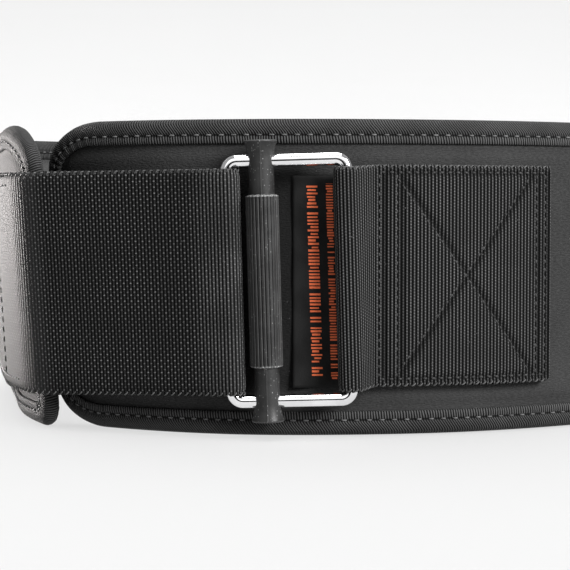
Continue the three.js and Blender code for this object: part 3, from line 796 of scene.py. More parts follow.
strap_selvage = selvage("strap_selvage", strap_way, -1, STRAP_WIDTH, STRAP_RIB)
loop_selvage = selvage("loop_selvage", anchor_way, 1, ANCHOR_WIDTH, ANCHOR_RIB)
print(f"{len(strap_selvage.data.polygons) + len(loop_selvage.data.polygons)} faces in the selvage loops")

# %% [markdown]
# ## Label
#
# A thin printed patch lies behind the buckle. It could be a plane, but its corner has curled up a little
# and its face is not quite flat. The print is two columns of plain strokes, made in the material.

# %% Label patch
LABEL_HEIGHT = 72.7
LABEL_DROP = 1.3
LABEL_START = TONGUE + 0.8
LABEL_END = ANCHOR_NEAR - 3.1


def label_patch():
    """A thin slab on a grid. The lower free corner lifts with the square of its nearness."""
    s = np.linspace(LABEL_START, LABEL_END, 40)[:, None]
    t = np.linspace(-1, 1, 61)[None, :]
    near_side = 1 - smoothstep(s, LABEL_START, LABEL_START + 9)
    near_bottom = 1 - smoothstep(t, -1, -0.55)
    lift = 1.0 * near_side**2 * near_bottom**2 + 0.12 * np.sin(t * 9 + 1) * near_side
    height = t * LABEL_HEIGHT / 2 - LABEL_DROP + 0 * s
    edge = np.minimum(smoothstep(s, LABEL_START, LABEL_START + 0.5), smoothstep(1 - np.abs(t), 0, 0.02))
    front = on_belt(s + 0 * t, height, GAP + 0.25 + 0.5 * edge + lift + 0.25)
    back = on_belt(s + 0 * t, height, GAP + 0.1 + lift)[:, ::-1]
    points = np.concatenate([front, back], 1)
    v = np.concatenate([t[0], 2 - t[0, ::-1], [3]]) * LABEL_HEIGHT / 2
    return skin("label_patch_printed", points, s[:, 0] - LABEL_START, v, caps=True)


label = label_patch()

# %% [markdown]
# ## Ring and bar
#
# The ring is round wire bent into a rectangle with tight corners. A torus or a curve with a bevel would
# do, but a circle carried round a rounded rectangle is just as short. The bar is a turned shape whose
# radius depends on the height and, on the grip, also on the angle: that one formula gives the flutes.

# %% Wire ring
WIRE_CORNER = 3.6


def wire_ring():
    """A circle carried round the middle line of a rectangle whose corners are quarter circles."""
    angle = np.radians(np.linspace(0, 90, 12))
    x, z, out = [], [], []
    for start, sx, sz in ((0, 1, 1), (90, -1, 1), (180, -1, -1), (270, 1, -1)):
        a = angle + np.radians(start)
        x.append(sx * (RING_HALF_WIDTH - WIRE_CORNER) + WIRE_CORNER * np.cos(a))
        z.append(sz * (RING_HALF_HEIGHT - WIRE_CORNER) + WIRE_CORNER * np.sin(a))
        out.append(a)
    x, z, a = (np.concatenate(part) for part in (x, z, out))
    dense = np.arange(len(x) + 1)
    fine = np.arange(0, len(x), 0.25)
    x, z = (np.interp(fine, dense, np.append(c, c[0])) for c in (x, z))
    a = np.interp(fine, dense, np.append(a, a[0] + 2 * np.pi))
    turn = np.linspace(0, 2 * np.pi, 25)[:-1]
    reach = WIRE / 2 * np.cos(turn)[None, :]
    local_x = x[:, None] + reach * np.cos(a)[:, None]
    local_z = z[:, None] + reach * np.sin(a)[:, None]
    local_y = np.broadcast_to(WIRE / 2 * np.sin(turn)[None, :], local_x.shape)
    points = ring_middle + sum(
        part[..., None] * axis
        for part, axis in ((local_x, ring_across), (local_y, ring_back), (local_z, ring_up))
    )
    return skin("wire_ring", points, np.append(fine, len(x)), np.linspace(0, 14.1, 25), wrap_rows=True)


ring = wire_ring()

# %% Ribbed bar
BAR_OFFSET = 8.5
BAR_HALF = 47.65
GRIP_HALF = 29.0
BAR_RADIUS = 4.35
GRIP_RADIUS = 5.6
FLUTES = 26


def bar_radius(z, angle):
    """The turned radius at a height, less the flutes' depth on the grip."""
    from_tip = BAR_HALF - np.abs(z)
    flare = BAR_RADIUS + 1.45 * np.clip(1 - from_tip / 6.0, 0, 1) ** 1.6
    tip = np.sqrt(np.clip(1 - np.clip(1 - from_tip / 0.7, 0, 1) ** 2, 0.0, 1)) * 0.7 - 0.7
    grip = smoothstep(GRIP_HALF + 0.3 - np.abs(z), 0, 0.5)
    hollow = np.clip(np.cos(FLUTES * angle) * 1.6 - 0.2, 0, 1)
    flute = 0.5 * hollow * smoothstep(GRIP_HALF - np.abs(z), 0, 0.8)
    past_seam = np.angle(np.exp(1j * (angle + np.pi / 2)))
    seam = 0.10 * np.exp(-((past_seam / 0.05) ** 2)) * (1 - grip)
    return flare + tip + seam + grip * (GRIP_RADIUS - BAR_RADIUS) - flute


def ribbed_bar():
    """Rings of points up the bar, with close rings at every change of shape."""
    tip = np.concatenate([[0, 0.05, 0.15, 0.3, 0.5, 0.7], np.linspace(1, 7, 16)])
    low = -BAR_HALF + tip
    shoulder = -29.5 + np.array([0, 0.15, 0.3, 0.45, 0.6, 0.8, 1.1, 1.4])
    grip = np.concatenate([shoulder, np.linspace(-27.5, 27.5, 70)])
    z = np.unique(np.round(np.concatenate([low, [-36, -32], grip, -grip, [32, 36], -low]), 4))
    angle = np.linspace(0, 2 * np.pi, FLUTES * 8 + 1)[:-1]
    radius = bar_radius(z[:, None], angle[None, :])
    x = radius * np.cos(angle)[None, :] - BAR_OFFSET
    y = radius * np.sin(angle)[None, :]
    height = np.broadcast_to(z[:, None], x.shape)
    points = ring_middle + x[..., None] * ring_across + y[..., None] * ring_back + height[..., None] * ring_up
    return skin("ribbed_bar", points, z, np.linspace(0, 35.2, len(angle) + 1), caps=True)


bar = ribbed_bar()
print(f"ring {len(ring.data.polygons)} faces, bar {len(bar.data.polygons)} faces")

# %% [markdown]
# ## What each piece stands for
#
# Every piece is listed with a material slot, which nothing here reads, and the CAD solids that it replaces.
# Every piece rides on the root body, and the solids that it replaces are hidden.

# %% Attach the pieces and hide the solids they replace
RIDERS = [
    (body, "body_fabric", ["padded_body"]),
    (lining, "lining_fabric", ["inner_lining"]),
    (tape, "binding_tape", ["edge_binding"]),
    (outer_stitches, "binding_tape", []),
    (inner_stitches, "binding_tape", []),
    (strap, "webbing", ["closure_strap"]),
    (anchor, "webbing", ["anchor_webbing"]),
    (strap_selvage, "webbing", []),
    (loop_selvage, "webbing", []),
    (square_stitches, "webbing", []),
    (tail_stitches, "webbing", []),
    (label, "label_fabric", ["label_patch"]),
    (ring, "ring_steel", ["buckle_ring"]),
    (bar, "bar_plastic", ["locking_bar"]),
]
for piece, slot_name, nodes in RIDERS:
    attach(piece, "root")
    if nodes:
        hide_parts(*nodes)

# %% [markdown]
# ## Nodes in few words
#
# A material is a graph of nodes. Two small helpers keep the recipes readable: one adds a node and fills
# its sockets with numbers or links, the other does one step of arithmetic.

# %% Node helpers


def node(tree, kind, sockets=None, **settings):
    """Adds a node. sockets maps an input's name or number to a value or to another node's output."""
    made = tree.nodes.new(kind)
    for name, value in settings.items():
        setattr(made, name, value)
    for name, value in (sockets or {}).items():
        if isinstance(value, bpy.types.NodeSocket):
            tree.links.new(value, made.inputs[name])
        else:
            made.inputs[name].default_value = value
    return made


def calc(tree, operation, *values, clamp=False):
    """One arithmetic step on numbers or sockets."""
    settings = {"operation": operation, "use_clamp": clamp}
    return node(tree, "ShaderNodeMath", dict(enumerate(values)), **settings).outputs[0]


def blend(tree, share, low, high):
    """A colour between low and high."""
    sockets = {"Factor": share, "A": low, "B": high}
    mix = tree.nodes.new("ShaderNodeMix")
    mix.data_type = "RGBA"
    for name, value in sockets.items():
        socket = next(s for s in mix.inputs if s.name == name and (s.type == "RGBA" or name == "Factor"))
        if isinstance(value, bpy.types.NodeSocket):
            tree.links.new(value, socket)
        else:
            socket.default_value = value
    return next(s for s in mix.outputs if s.type == "RGBA")


def scale_range(tree, value, low, high, to_low=0.0, to_high=1.0):
    """The part of value between low and high, stretched to a new range."""
    sockets = {"Value": value, 1: low, 2: high, 3: to_low, 4: to_high}
    return node(tree, "ShaderNodeMapRange", sockets, interpolation_type="SMOOTHSTEP").outputs[0]


def new_group(name, inputs, outputs):
    """An empty node group with named sockets."""
    tree = bpy.data.node_groups.new(name, "ShaderNodeTree")
    for label, kind, value in inputs:
        socket = tree.interface.new_socket(label, in_out="INPUT", socket_type="NodeSocket" + kind)
        if value is not None:
            socket.default_value = value
    for label, kind in outputs:
        tree.interface.new_socket(label, in_out="OUTPUT", socket_type="NodeSocket" + kind)
    return tree, tree.nodes.new("NodeGroupInput").outputs, tree.nodes.new("NodeGroupOutput").inputs


def use_group(tree, group, sockets):
    """Places a group in a material and returns its outputs."""
    return node(tree, "ShaderNodeGroup", sockets, node_tree=group).outputs


# %% [markdown]
# ## Effects that several materials share
#
# Three effects come back on this belt: the little floats of yarn on ribbed cloth, the fine uneven fibres
# of all of it, and pale dust. Each is a node group with named sockets, so a material only says how large
# and how strong it wants the effect.

# %% Weave of cross ribs


def make_weave():
    """Ribs counts ribs along the strip and Across is in millimetres. A float is a rib's crown times the
    part of a cosine across that is above Float from. Every other rib is shifted by half and dimmer."""
    tree, get, put = new_group(
        "Rib weave",
        [
            ("Ribs", "Float", 0.0),
            ("Across", "Float", 0.0),
            ("Float pitch", "Float", 2.0),
            ("Float from", "Float", 0.0),
            ("Offset dim", "Float", 0.6),
            ("Rib from", "Float", -0.75),
        ],
        [("Height", "Float"), ("Floats", "Float"), ("Crown", "Float")],
    )
    crown = calc(tree, "COSINE", calc(tree, "MULTIPLY", get["Ribs"], 2 * np.pi))
    crown = scale_range(tree, crown, get["Rib from"], 1.0)
    parity = calc(tree, "MODULO", calc(tree, "ROUND", get["Ribs"]), 2.0)
    parity = calc(tree, "ABSOLUTE", parity)
    shift = calc(tree, "MULTIPLY", parity, 0.5)
    place = calc(tree, "ADD", calc(tree, "DIVIDE", get["Across"], get["Float pitch"]), shift)
    across = calc(tree, "COSINE", calc(tree, "MULTIPLY", place, 2 * np.pi))
    across = scale_range(tree, across, get["Float from"], 1.0)
    dim = calc(tree, "SUBTRACT", 1.0, calc(tree, "MULTIPLY", parity, get["Offset dim"]))
    floats = calc(tree, "MULTIPLY", calc(tree, "MULTIPLY", crown, across), dim)
    tree.links.new(floats, put["Floats"])
    tree.links.new(crown, put["Crown"])
    height = calc(tree, "ADD", calc(tree, "MULTIPLY", floats, 0.6), calc(tree, "MULTIPLY", crown, 0.4))
    tree.links.new(height, put["Height"])
    return tree


weave = make_weave()

# %% Fibres and dust


def make_fibres():
    """Two sizes of noise: slow for patches of tone, quick for single fibres."""
    tree, get, put = new_group(
        "Fibres",
        [("Vector", "Vector", None), ("Patch scale", "Float", 40.0), ("Fibre scale", "Float", 1500.0)],
        [("Tone", "Float"), ("Fuzz", "Float")],
    )
    patch_sockets = {"Vector": get["Vector"], "Scale": get["Patch scale"], "Detail": 4.0}
    patches = node(tree, "ShaderNodeTexNoise", patch_sockets)
    fibre_sockets = {"Vector": get["Vector"], "Scale": get["Fibre scale"], "Detail": 2.0}
    quick = node(tree, "ShaderNodeTexNoise", fibre_sockets)
    tree.links.new(scale_range(tree, patches.outputs["Fac"], 0.3, 0.7), put["Tone"])
    tree.links.new(quick.outputs["Fac"], put["Fuzz"])
    return tree


def make_dust():
    """Specks where a random value in small cells passes a limit, only near each cell's middle."""
    tree, get, put = new_group(
        "Dust",
        [("Vector", "Vector", None), ("Speck scale", "Float", 900.0), ("Amount", "Float", 0.1)],
        [("Mask", "Float")],
    )
    cells = node(tree, "ShaderNodeTexVoronoi", {"Vector": get["Vector"], "Scale": get["Speck scale"]})
    chance = node(tree, "ShaderNodeSeparateColor", {"Color": cells.outputs["Color"]}).outputs[0]
    chosen = calc(tree, "LESS_THAN", chance, get["Amount"])
    near = scale_range(tree, cells.outputs["Distance"], 0.18, 0.42, 1.0, 0.0)
    tree.links.new(calc(tree, "MULTIPLY", chosen, near), put["Mask"])
    return tree


fibres = make_fibres()
dust = make_dust()

# %% A new material


def new_material(name, **sockets):
    """A material with a Principled shader whose named sockets are set, and its object coordinates."""
    material = bpy.data.materials.new(name)
    material.use_nodes = True
    tree = material.node_tree
    shader = tree.nodes["Principled BSDF"]
    for label, value in sockets.items():
        shader.inputs[label.replace("_", " ")].default_value = value
    position = tree.nodes.new("ShaderNodeTexCoord").outputs["Object"]
    return material, tree, shader, position


def grey(value, warm=0.0):
    """A linear grey, a touch warmer in the red and cooler in the blue."""
    return (value * (1 + warm), value, value * (1 - warm), 1.0)


def bump(tree, shader, height, distance, strength=1.0, normal=None):
    """Feeds a height into the shader's normal. distance is in millimetres."""
    sockets = {"Height": height, "Distance": distance * MM, "Strength": strength}
    if normal is not None:
        sockets["Normal"] = normal
    made = node(tree, "ShaderNodeBump", sockets)
    tree.links.new(made.outputs[0], shader.inputs["Normal"])
    return made.outputs[0]


# %% [markdown]
# ## Webbing
#
# The yarn is black and a little shiny. In the material each float gets a painted highlight, the valleys
# between the ribs get painted shade, and so do the seams pressed into the webbing. The pattern reads the
# strip's own UV map, which is in millimetres along and across.

# %% Webbing material


def webbing_material(name, rib, float_pitch, float_from, offset_dim, rib_from, tones):
    """tones are the linear greys of a valley's painted shade, of a rib's crown, of a float's painted
    highlight and of a crown's painted highlight near the wire.
    """
    material, tree, shader, position = new_material(
        name, Specular_IOR_Level=0.04, Sheen_Weight=0.02, Sheen_Roughness=0.4
    )
    uv = node(tree, "ShaderNodeUVMap", uv_map="pattern").outputs[0]
    split = node(tree, "ShaderNodeSeparateXYZ", {0: uv}).outputs
    sockets = {
        "Ribs": calc(tree, "DIVIDE", split[0], rib),
        "Across": split[1],
        "Float pitch": float_pitch,
        "Float from": float_from,
        "Offset dim": offset_dim,
        "Rib from": rib_from,
    }
    woven = use_group(tree, weave, sockets)
    fluff = use_group(tree, fibres, {"Vector": position, "Patch scale": 60.0, "Fibre scale": 2600.0})
    specks = use_group(tree, dust, {"Vector": position, "Speck scale": 1500.0, "Amount": 0.004})
    valley, crown, bright, worn = tones
    uneven = calc(tree, "ADD", 0.28, calc(tree, "MULTIPLY", fluff["Tone"], 0.58))
    uneven = calc(tree, "ADD", uneven, calc(tree, "MULTIPLY", fluff["Fuzz"], 0.5))
    # The valleys between the ribs get painted shade; the crowns keep their own grey.
    base = blend(tree, woven["Crown"], grey(valley), grey(crown))
    # Painted highlight: near the fold round the wire the rib crowns are blended paler.
    rubbed = node(tree, "ShaderNodeAttribute", attribute_name="rubbed").outputs["Fac"]
    rubbed = calc(tree, "MULTIPLY", rubbed, calc(tree, "MULTIPLY", woven["Crown"], uneven))
    base = blend(tree, rubbed, base, grey(worn))
    # Painted highlight on each float.
    base = blend(tree, calc(tree, "MULTIPLY", woven["Floats"], uneven), base, grey(bright))
    pressed = node(tree, "ShaderNodeAttribute", attribute_name="pressed").outputs["Fac"]
    # Painted shade along the pressed seams, in the valleys' grey.
    base = blend(tree, calc(tree, "MULTIPLY", pressed, 0.65), base, grey(valley))
    flattened = node(tree, "ShaderNodeAttribute", attribute_name="flattened").outputs["Fac"]
    # The ribs at the left end are really drawn flat; the paler even grey they are blended toward is a painted
    # highlight of the strong light on that end.
    base = blend(tree, calc(tree, "MULTIPLY", flattened, 0.6), base, grey(0.03))
    base = blend(tree, calc(tree, "MULTIPLY", specks["Mask"], 0.35), base, grey(0.2))
    tree.links.new(base, shader.inputs["Base Color"])
    rough = calc(tree, "ADD", 0.5, calc(tree, "MULTIPLY", fluff["Fuzz"], 0.25))
    tree.links.new(rough, shader.inputs["Roughness"])
    height = calc(tree, "ADD", woven["Height"], calc(tree, "MULTIPLY", fluff["Fuzz"], 0.3))
    height = calc(tree, "MULTIPLY", height, scale_range(tree, flattened, 0.0, 1.0, 1.0, 0.35))
    bump(tree, shader, height, 0.35, 0.9)
    return material


# Each row of tones: a valley's painted shade, a crown's own grey, a float's painted highlight and the painted
# highlight near the wire.
STRAP_TONES = (0.0025, 0.015, 0.125, 0.052)
strap_finish = webbing_material("Strap webbing", STRAP_RIB, 2.03, 0.55, 0.45, -0.7, STRAP_TONES)
strap.data.materials.append(strap_finish)
LOOP_TONES = (0.002, 0.04, 0.115, 0.04)
loop_finish = webbing_material("Loop webbing", ANCHOR_RIB, 1.03, -0.2, 0.25, -0.45, LOOP_TONES)
anchor.data.materials.append(loop_finish)

# %% [markdown]
# ## Ribbed tape
#
# The tape's ribs run across it, slanting on the outer half where the tape was pulled round the edge. A
# sine of the distance along, sheared by the distance across, gives them.

# %% Tape material
TAPE_RIB = 0.95
LEG_POINTS = 8
OUTSIDE_POINTS = 27
leg_distance = np.interp(-STITCH_INSET, -section[:LEG_POINTS, 0], section_distance[:LEG_POINTS])
HOLE_ROWS = (leg_distance, section_distance[OUTSIDE_POINTS] - leg_distance - 0.2)


def tape_material():
    """A sine along the tape, sheared by the distance across: painted shade in the grooves and painted
    highlight on the crests, with a dark line at each seam.
    """
    material, tree, shader, position = new_material(
        "Ribbed tape", Specular_IOR_Level=0.06, Sheen_Weight=0.03, Sheen_Roughness=0.4
    )
    uv = node(tree, "ShaderNodeUVMap", uv_map="pattern").outputs[0]
    split = node(tree, "ShaderNodeSeparateXYZ", {0: uv}).outputs
    slow = use_group(tree, fibres, {"Vector": position, "Patch scale": 90.0, "Fibre scale": 2400.0})
    slant = calc(tree, "MULTIPLY", scale_range(tree, split[1], 3.0, 8.0), -2.2)
    slant = calc(tree, "ADD", slant, calc(tree, "MULTIPLY", split[1], -0.12))
    sheared = calc(tree, "ADD", split[0], calc(tree, "ADD", slant, calc(tree, "MULTIPLY", slow["Tone"], 0.5)))
    rib = calc(tree, "SINE", calc(tree, "MULTIPLY", sheared, 2 * np.pi / TAPE_RIB))
    rib = scale_range(tree, rib, -0.7, 0.9)
    tone = calc(tree, "ADD", 0.25, calc(tree, "MULTIPLY", slow["Tone"], 0.3))
    tone = calc(tree, "MULTIPLY", rib, calc(tree, "ADD", tone, calc(tree, "MULTIPLY", slow["Fuzz"], 0.7)))
    # Painted highlight: the strip of each outer leg next to the body is made up to 1.45 times paler.
    tone = calc(tree, "MULTIPLY", tone, scale_range(tree, split[1], 2.2, 3.4, 1.45, 1.0))
    # The ribs' painted shade and painted highlight, between two greys.
    base = blend(tree, tone, grey(0.004), grey(0.062))
    for row in HOLE_ROWS:
        from_row = calc(tree, "ABSOLUTE", calc(tree, "SUBTRACT", split[1], row))
        base = blend(tree, scale_range(tree, from_row, 0.15, 0.55, 0.9, 0.0), base, grey(0.002))
    tree.links.new(base, shader.inputs["Base Color"])
    rough = calc(tree, "ADD", 0.55, calc(tree, "MULTIPLY", slow["Fuzz"], 0.2))
    tree.links.new(rough, shader.inputs["Roughness"])
    height = calc(tree, "ADD", rib, calc(tree, "MULTIPLY", slow["Fuzz"], 0.4))
    bump(tree, shader, height, 0.25, 0.9)
    return material


tape.data.materials.append(tape_material())

# %% [markdown]
# ## Smooth cloth on the faces
#
# The cloth on both faces is a fine knit: dark, matt, with rows of tiny loops that read as short level
# dashes. A noise squeezed across the belt and stretched along it gives the dashes, and two more sizes of
# noise give the fibres and the slow patches of tone.

# %% Face and lining material


def cloth_material(name, low, high):
    """Dashes and fibres mix the tone between two linear greys."""
    material, tree, shader, position = new_material(
        name, Specular_IOR_Level=0.05, Sheen_Weight=0.02, Sheen_Roughness=0.5
    )
    uv = node(tree, "ShaderNodeUVMap", uv_map="pattern").outputs[0]
    squeezed = node(tree, "ShaderNodeMapping", {"Vector": uv, "Scale": (0.7, 2.6, 1.0)}).outputs[0]
    dash_sockets = {"Vector": squeezed, "Scale": 1.0, "Detail": 1.0}
    dashes = node(tree, "ShaderNodeTexNoise", dash_sockets).outputs["Fac"]
    dashes = scale_range(tree, dashes, 0.3, 0.7)
    fine = use_group(tree, fibres, {"Vector": position, "Patch scale": 25.0, "Fibre scale": 1500.0})
    specks = use_group(tree, dust, {"Vector": position, "Speck scale": 1300.0, "Amount": 0.002})
    fuzzy = calc(tree, "MULTIPLY", fine["Fuzz"], 0.5)
    tone = calc(tree, "ADD", calc(tree, "MULTIPLY", fine["Tone"], 0.25), fuzzy)
    tone = calc(tree, "ADD", tone, calc(tree, "MULTIPLY", dashes, 0.35))
    base = blend(tree, tone, grey(low), grey(high))
    # Painted shade: the face is darker around the bar and at the end where s is 0.
    painted_shade = node(tree, "ShaderNodeAttribute", attribute_name="painted_shade").outputs["Fac"]
    base = blend(tree, calc(tree, "MULTIPLY", painted_shade, 0.65), base, grey(0.002))
    base = blend(tree, calc(tree, "MULTIPLY", specks["Mask"], 0.2), base, grey(0.2))
    tree.links.new(base, shader.inputs["Base Color"])
    rough = calc(tree, "ADD", 0.75, calc(tree, "MULTIPLY", fine["Fuzz"], 0.2))
    tree.links.new(rough, shader.inputs["Roughness"])
    bump(tree, shader, calc(tree, "ADD", fine["Fuzz"], calc(tree, "MULTIPLY", dashes, 0.5)), 0.25, 0.7)
    return material


body.data.materials.append(cloth_material("Face cloth", 0.010, 0.038))
lining.data.materials.append(cloth_material("Lining cloth", 0.021, 0.058))

# %% Thread material


def thread_material(name, tone):
    """A linear grey that varies by four tenths either way."""
    material, tree, shader, position = new_material(name, Specular_IOR_Level=0.2, Sheen_Weight=0.05)
    fluff = use_group(tree, fibres, {"Vector": position, "Patch scale": 300.0, "Fibre scale": 3000.0})
    base = blend(tree, fluff["Tone"], grey(tone * 0.6), grey(tone * 1.4))
    tree.links.new(base, shader.inputs["Base Color"])
    rough = calc(tree, "ADD", 0.4, calc(tree, "MULTIPLY", fluff["Fuzz"], 0.3))
    tree.links.new(rough, shader.inputs["Roughness"])
    return material


light_thread = thread_material("Edge thread", 0.07)
dark_thread = thread_material("Webbing thread", 0.05)
# The square's stitches are the webbing thread painted darker: painted shade where they sit in the pressed
# valleys.
shaded_thread = thread_material("Shaded webbing thread", 0.022)
for piece, thread in (
    (outer_stitches, light_thread),
    (inner_stitches, light_thread),
    (strap_selvage, dark_thread),
    (loop_selvage, dark_thread),
    (square_stitches, shaded_thread),
    (tail_stitches, dark_thread),
):
    piece.data.materials.append(thread)

# %% [markdown]
# ## Printed label
#
# Dark cloth with two columns of short orange strokes, printed a little aslant. Along the column the distance
# is cut into cells, one stroke to a cell. Random values of each cell set how long and thick its stroke is
# and whether it is left out, so that the strokes stand in groups.

# %% Label material
COLUMNS = ((5.8, 3.7, 1.15), (12.35, 2.35, 0.94))
PRINT_HALF = 33.6
PRINT_SLANT = 0.03
ORANGE = (0.76, 0.16, 0.065, 1.0)


def label_material():
    """Each row of COLUMNS is where a column starts, how wide it is and the pitch of its strokes."""
    material, tree, shader, position = new_material("Printed label", Specular_IOR_Level=0.06)
    uv = node(tree, "ShaderNodeUVMap", uv_map="pattern").outputs[0]
    x, y = node(tree, "ShaderNodeSeparateXYZ", {0: uv}).outputs[:2]
    x = calc(tree, "ADD", x, calc(tree, "MULTIPLY", y, PRINT_SLANT))
    fine = use_group(tree, fibres, {"Vector": position, "Patch scale": 90.0, "Fibre scale": 2200.0})
    printed = 0.0
    for start, width, pitch in COLUMNS:
        cell = calc(tree, "DIVIDE", calc(tree, "ADD", y, 100.0), pitch)
        cell_sockets = {"W": calc(tree, "FLOOR", cell)}
        random = node(tree, "ShaderNodeTexWhiteNoise", cell_sockets, noise_dimensions="1D")
        chance = random.outputs["Value"]
        length = scale_range(tree, chance, 0.0, 0.3, 0.3 * width, 0.5 * width)
        turn, thick = node(tree, "ShaderNodeSeparateColor", {"Color": random.outputs["Color"]}).outputs[1:]
        thick = scale_range(tree, thick, 0.0, 1.0, 0.46, 0.66)
        slack = calc(tree, "SUBTRACT", 0.5 * width, length)
        middle = calc(tree, "MULTIPLY", slack, calc(tree, "SUBTRACT", calc(tree, "MULTIPLY", turn, 2.0), 1.0))
        middle = calc(tree, "ADD", middle, start + 0.5 * width)
        inside = calc(tree, "LESS_THAN", calc(tree, "ABSOLUTE", calc(tree, "SUBTRACT", x, middle)), length)
        inside = calc(tree, "MULTIPLY", inside, calc(tree, "LESS_THAN", calc(tree, "FRACT", cell), thick))
        inside = calc(tree, "MULTIPLY", inside, calc(tree, "LESS_THAN", chance, 0.84))
        printed = calc(tree, "MAXIMUM", printed, inside)
    printed = calc(tree, "MULTIPLY", printed, calc(tree, "LESS_THAN", calc(tree, "ABSOLUTE", y), PRINT_HALF))
    worn = calc(tree, "ADD", 0.7, calc(tree, "MULTIPLY", fine["Fuzz"], 0.4), clamp=True)
    mask = calc(tree, "MULTIPLY", printed, worn)
    base = blend(tree, fine["Tone"], grey(0.008), grey(0.014))
    base = blend(tree, mask, base, ORANGE)
    tree.links.new(base, shader.inputs["Base Color"])
    cloth_roughness = calc(tree, "ADD", 0.6, calc(tree, "MULTIPLY", fine["Fuzz"], 0.2))
    tree.links.new(cloth_roughness, shader.inputs["Roughness"])
    bump(tree, shader, calc(tree, "ADD", fine["Fuzz"], mask), 0.12, 0.6)
    return material


label.data.materials.append(label_material())

# %% [markdown]
# ## Bright wire and dark bar
#
# The ring is plated and polished, so its look is mostly what it reflects. Faint scratches roughen it. The
# bar is moulded and coated: satin black, rubbed paler where its flutes stick out, with dust in streaks
# between them.

# %% Ring and bar materials


def chrome_material():
    """Pale metal whose roughness drifts between 0.05 and 0.14."""
    material, tree, shader, position = new_material("Polished plating", Metallic=1.0)
    fine = use_group(tree, fibres, {"Vector": position, "Patch scale": 120.0, "Fibre scale": 900.0})
    base = blend(tree, fine["Tone"], (0.82, 0.82, 0.83, 1), (0.93, 0.93, 0.94, 1))
    tree.links.new(base, shader.inputs["Base Color"])
    rough = scale_range(tree, fine["Tone"], 0.0, 1.0, 0.05, 0.14)
    tree.links.new(rough, shader.inputs["Roughness"])
    bump(tree, shader, fine["Fuzz"], 0.01, 0.25)
    return material


def bar_material():
    """Satin black, paler on what juts out and on the grip's rims, dusty in the hollows."""
    material, tree, shader, position = new_material("Coated bar", Specular_IOR_Level=0.25)
    uv = node(tree, "ShaderNodeUVMap", uv_map="pattern").outputs[0]
    height = node(tree, "ShaderNodeSeparateXYZ", {0: uv}).outputs[0]
    fine = use_group(tree, fibres, {"Vector": position, "Patch scale": 160.0, "Fibre scale": 1400.0})
    specks = use_group(tree, dust, {"Vector": position, "Speck scale": 1900.0, "Amount": 0.12})
    pointiness = node(tree, "ShaderNodeNewGeometry").outputs["Pointiness"]
    rubbed = scale_range(tree, pointiness, 0.51, 0.58)
    from_rim = calc(tree, "ABSOLUTE", calc(tree, "SUBTRACT", calc(tree, "ABSOLUTE", height), GRIP_HALF - 0.1))
    rim = scale_range(tree, from_rim, 0.15, 0.5, 1.0, 0.0)
    rim = calc(tree, "MULTIPLY", rim, scale_range(tree, fine["Fuzz"], 0.4, 0.6))
    rubbed = calc(tree, "MAXIMUM", calc(tree, "MULTIPLY", rubbed, 0.45), rim)
    streaks = node(tree, "ShaderNodeMapping", {"Vector": uv, "Scale": (0.35, 3.0, 1.0)}).outputs[0]
    streak_sockets = {"Vector": streaks, "Scale": 1.0, "Detail": 3.0}
    streaks = node(tree, "ShaderNodeTexNoise", streak_sockets).outputs["Fac"]
    settled = scale_range(tree, pointiness, 0.40, 0.49, 1.0, 0.0)
    settled = calc(tree, "MULTIPLY", settled, scale_range(tree, streaks, 0.4, 0.65))
    base = blend(tree, fine["Tone"], grey(0.009), grey(0.018))
    base = blend(tree, calc(tree, "MULTIPLY", settled, 0.6), base, grey(0.05))
    base = blend(tree, rubbed, base, grey(0.22))
    base = blend(tree, calc(tree, "MULTIPLY", specks["Mask"], fine["Tone"]), base, grey(0.2))
    tree.links.new(base, shader.inputs["Base Color"])
    rough = scale_range(tree, fine["Tone"], 0.0, 1.0, 0.42, 0.6)
    tree.links.new(rough, shader.inputs["Roughness"])
    bump(tree, shader, fine["Fuzz"], 0.08, 0.7)
    return material


ring.data.materials.append(chrome_material())
bar.data.materials.append(bar_material())

# %% [markdown]
# ## Studio
#
# Black cloth on white paper is hard to light: what is right for the cloth burns out the paper. In a studio
# the lamps are shaded so that each shines on one of them. Light linking does the same here: a lamp names
# the objects that it reaches. The paper has a broad sun of its own. The belt has two soft lamps, and from
# the left come three spots at one place: one for the strap, one for the tape and one for the smooth cloth.
# The wire has a card of light to reflect.

# %% Floor and backdrop


def backdrop():
    """A floor that turns up behind the belt in a quarter circle, as one profile carried sideways."""
    a = np.linspace(0, np.pi / 2, 24)
    y = np.concatenate([[-4000], 1500 + 900 * np.sin(a), [2400]])
    z = np.concatenate([[0], 900 - 900 * np.cos(a), [4200]]) - 0.05
    x = np.array([-4000.0, 4000.0])
    points = np.stack(np.broadcast_arrays(x[None, :], y[:, None], z[:, None]), -1)
    corners = grid_quads(len(y), 2)
    quads = corners[..., 0] * 2 + corners[..., 1]
    mesh = bpy.data.meshes.new("studio_floor")
    mesh.from_pydata((points.reshape(-1, 3) * MM).tolist(), [], quads[:, ::-1].tolist())
    mesh.shade_smooth()
    floor = bpy.data.objects.new("studio_floor", mesh)
    bpy.context.collection.objects.link(floor)
    material, tree, shader, position = new_material("Studio paper", Roughness=0.9, Specular_IOR_Level=0.05)
    paper = use_group(tree, fibres, {"Vector": position, "Patch scale": 2.0, "Fibre scale": 300.0})
    base = blend(tree, paper["Tone"], grey(0.80), grey(0.81))
    tree.links.new(base, shader.inputs["Base Color"])
    mesh.materials.append(material)
    return floor


floor = backdrop()

# %% Lights and sky


def shine_on(lamp, name, objects):
    """Lets lamp reach these objects only."""
    reached = bpy.data.collections.new(name)
    for reached_object in objects:
        reached.objects.link(reached_object)
    lamp.light_linking.receiver_collection = reached


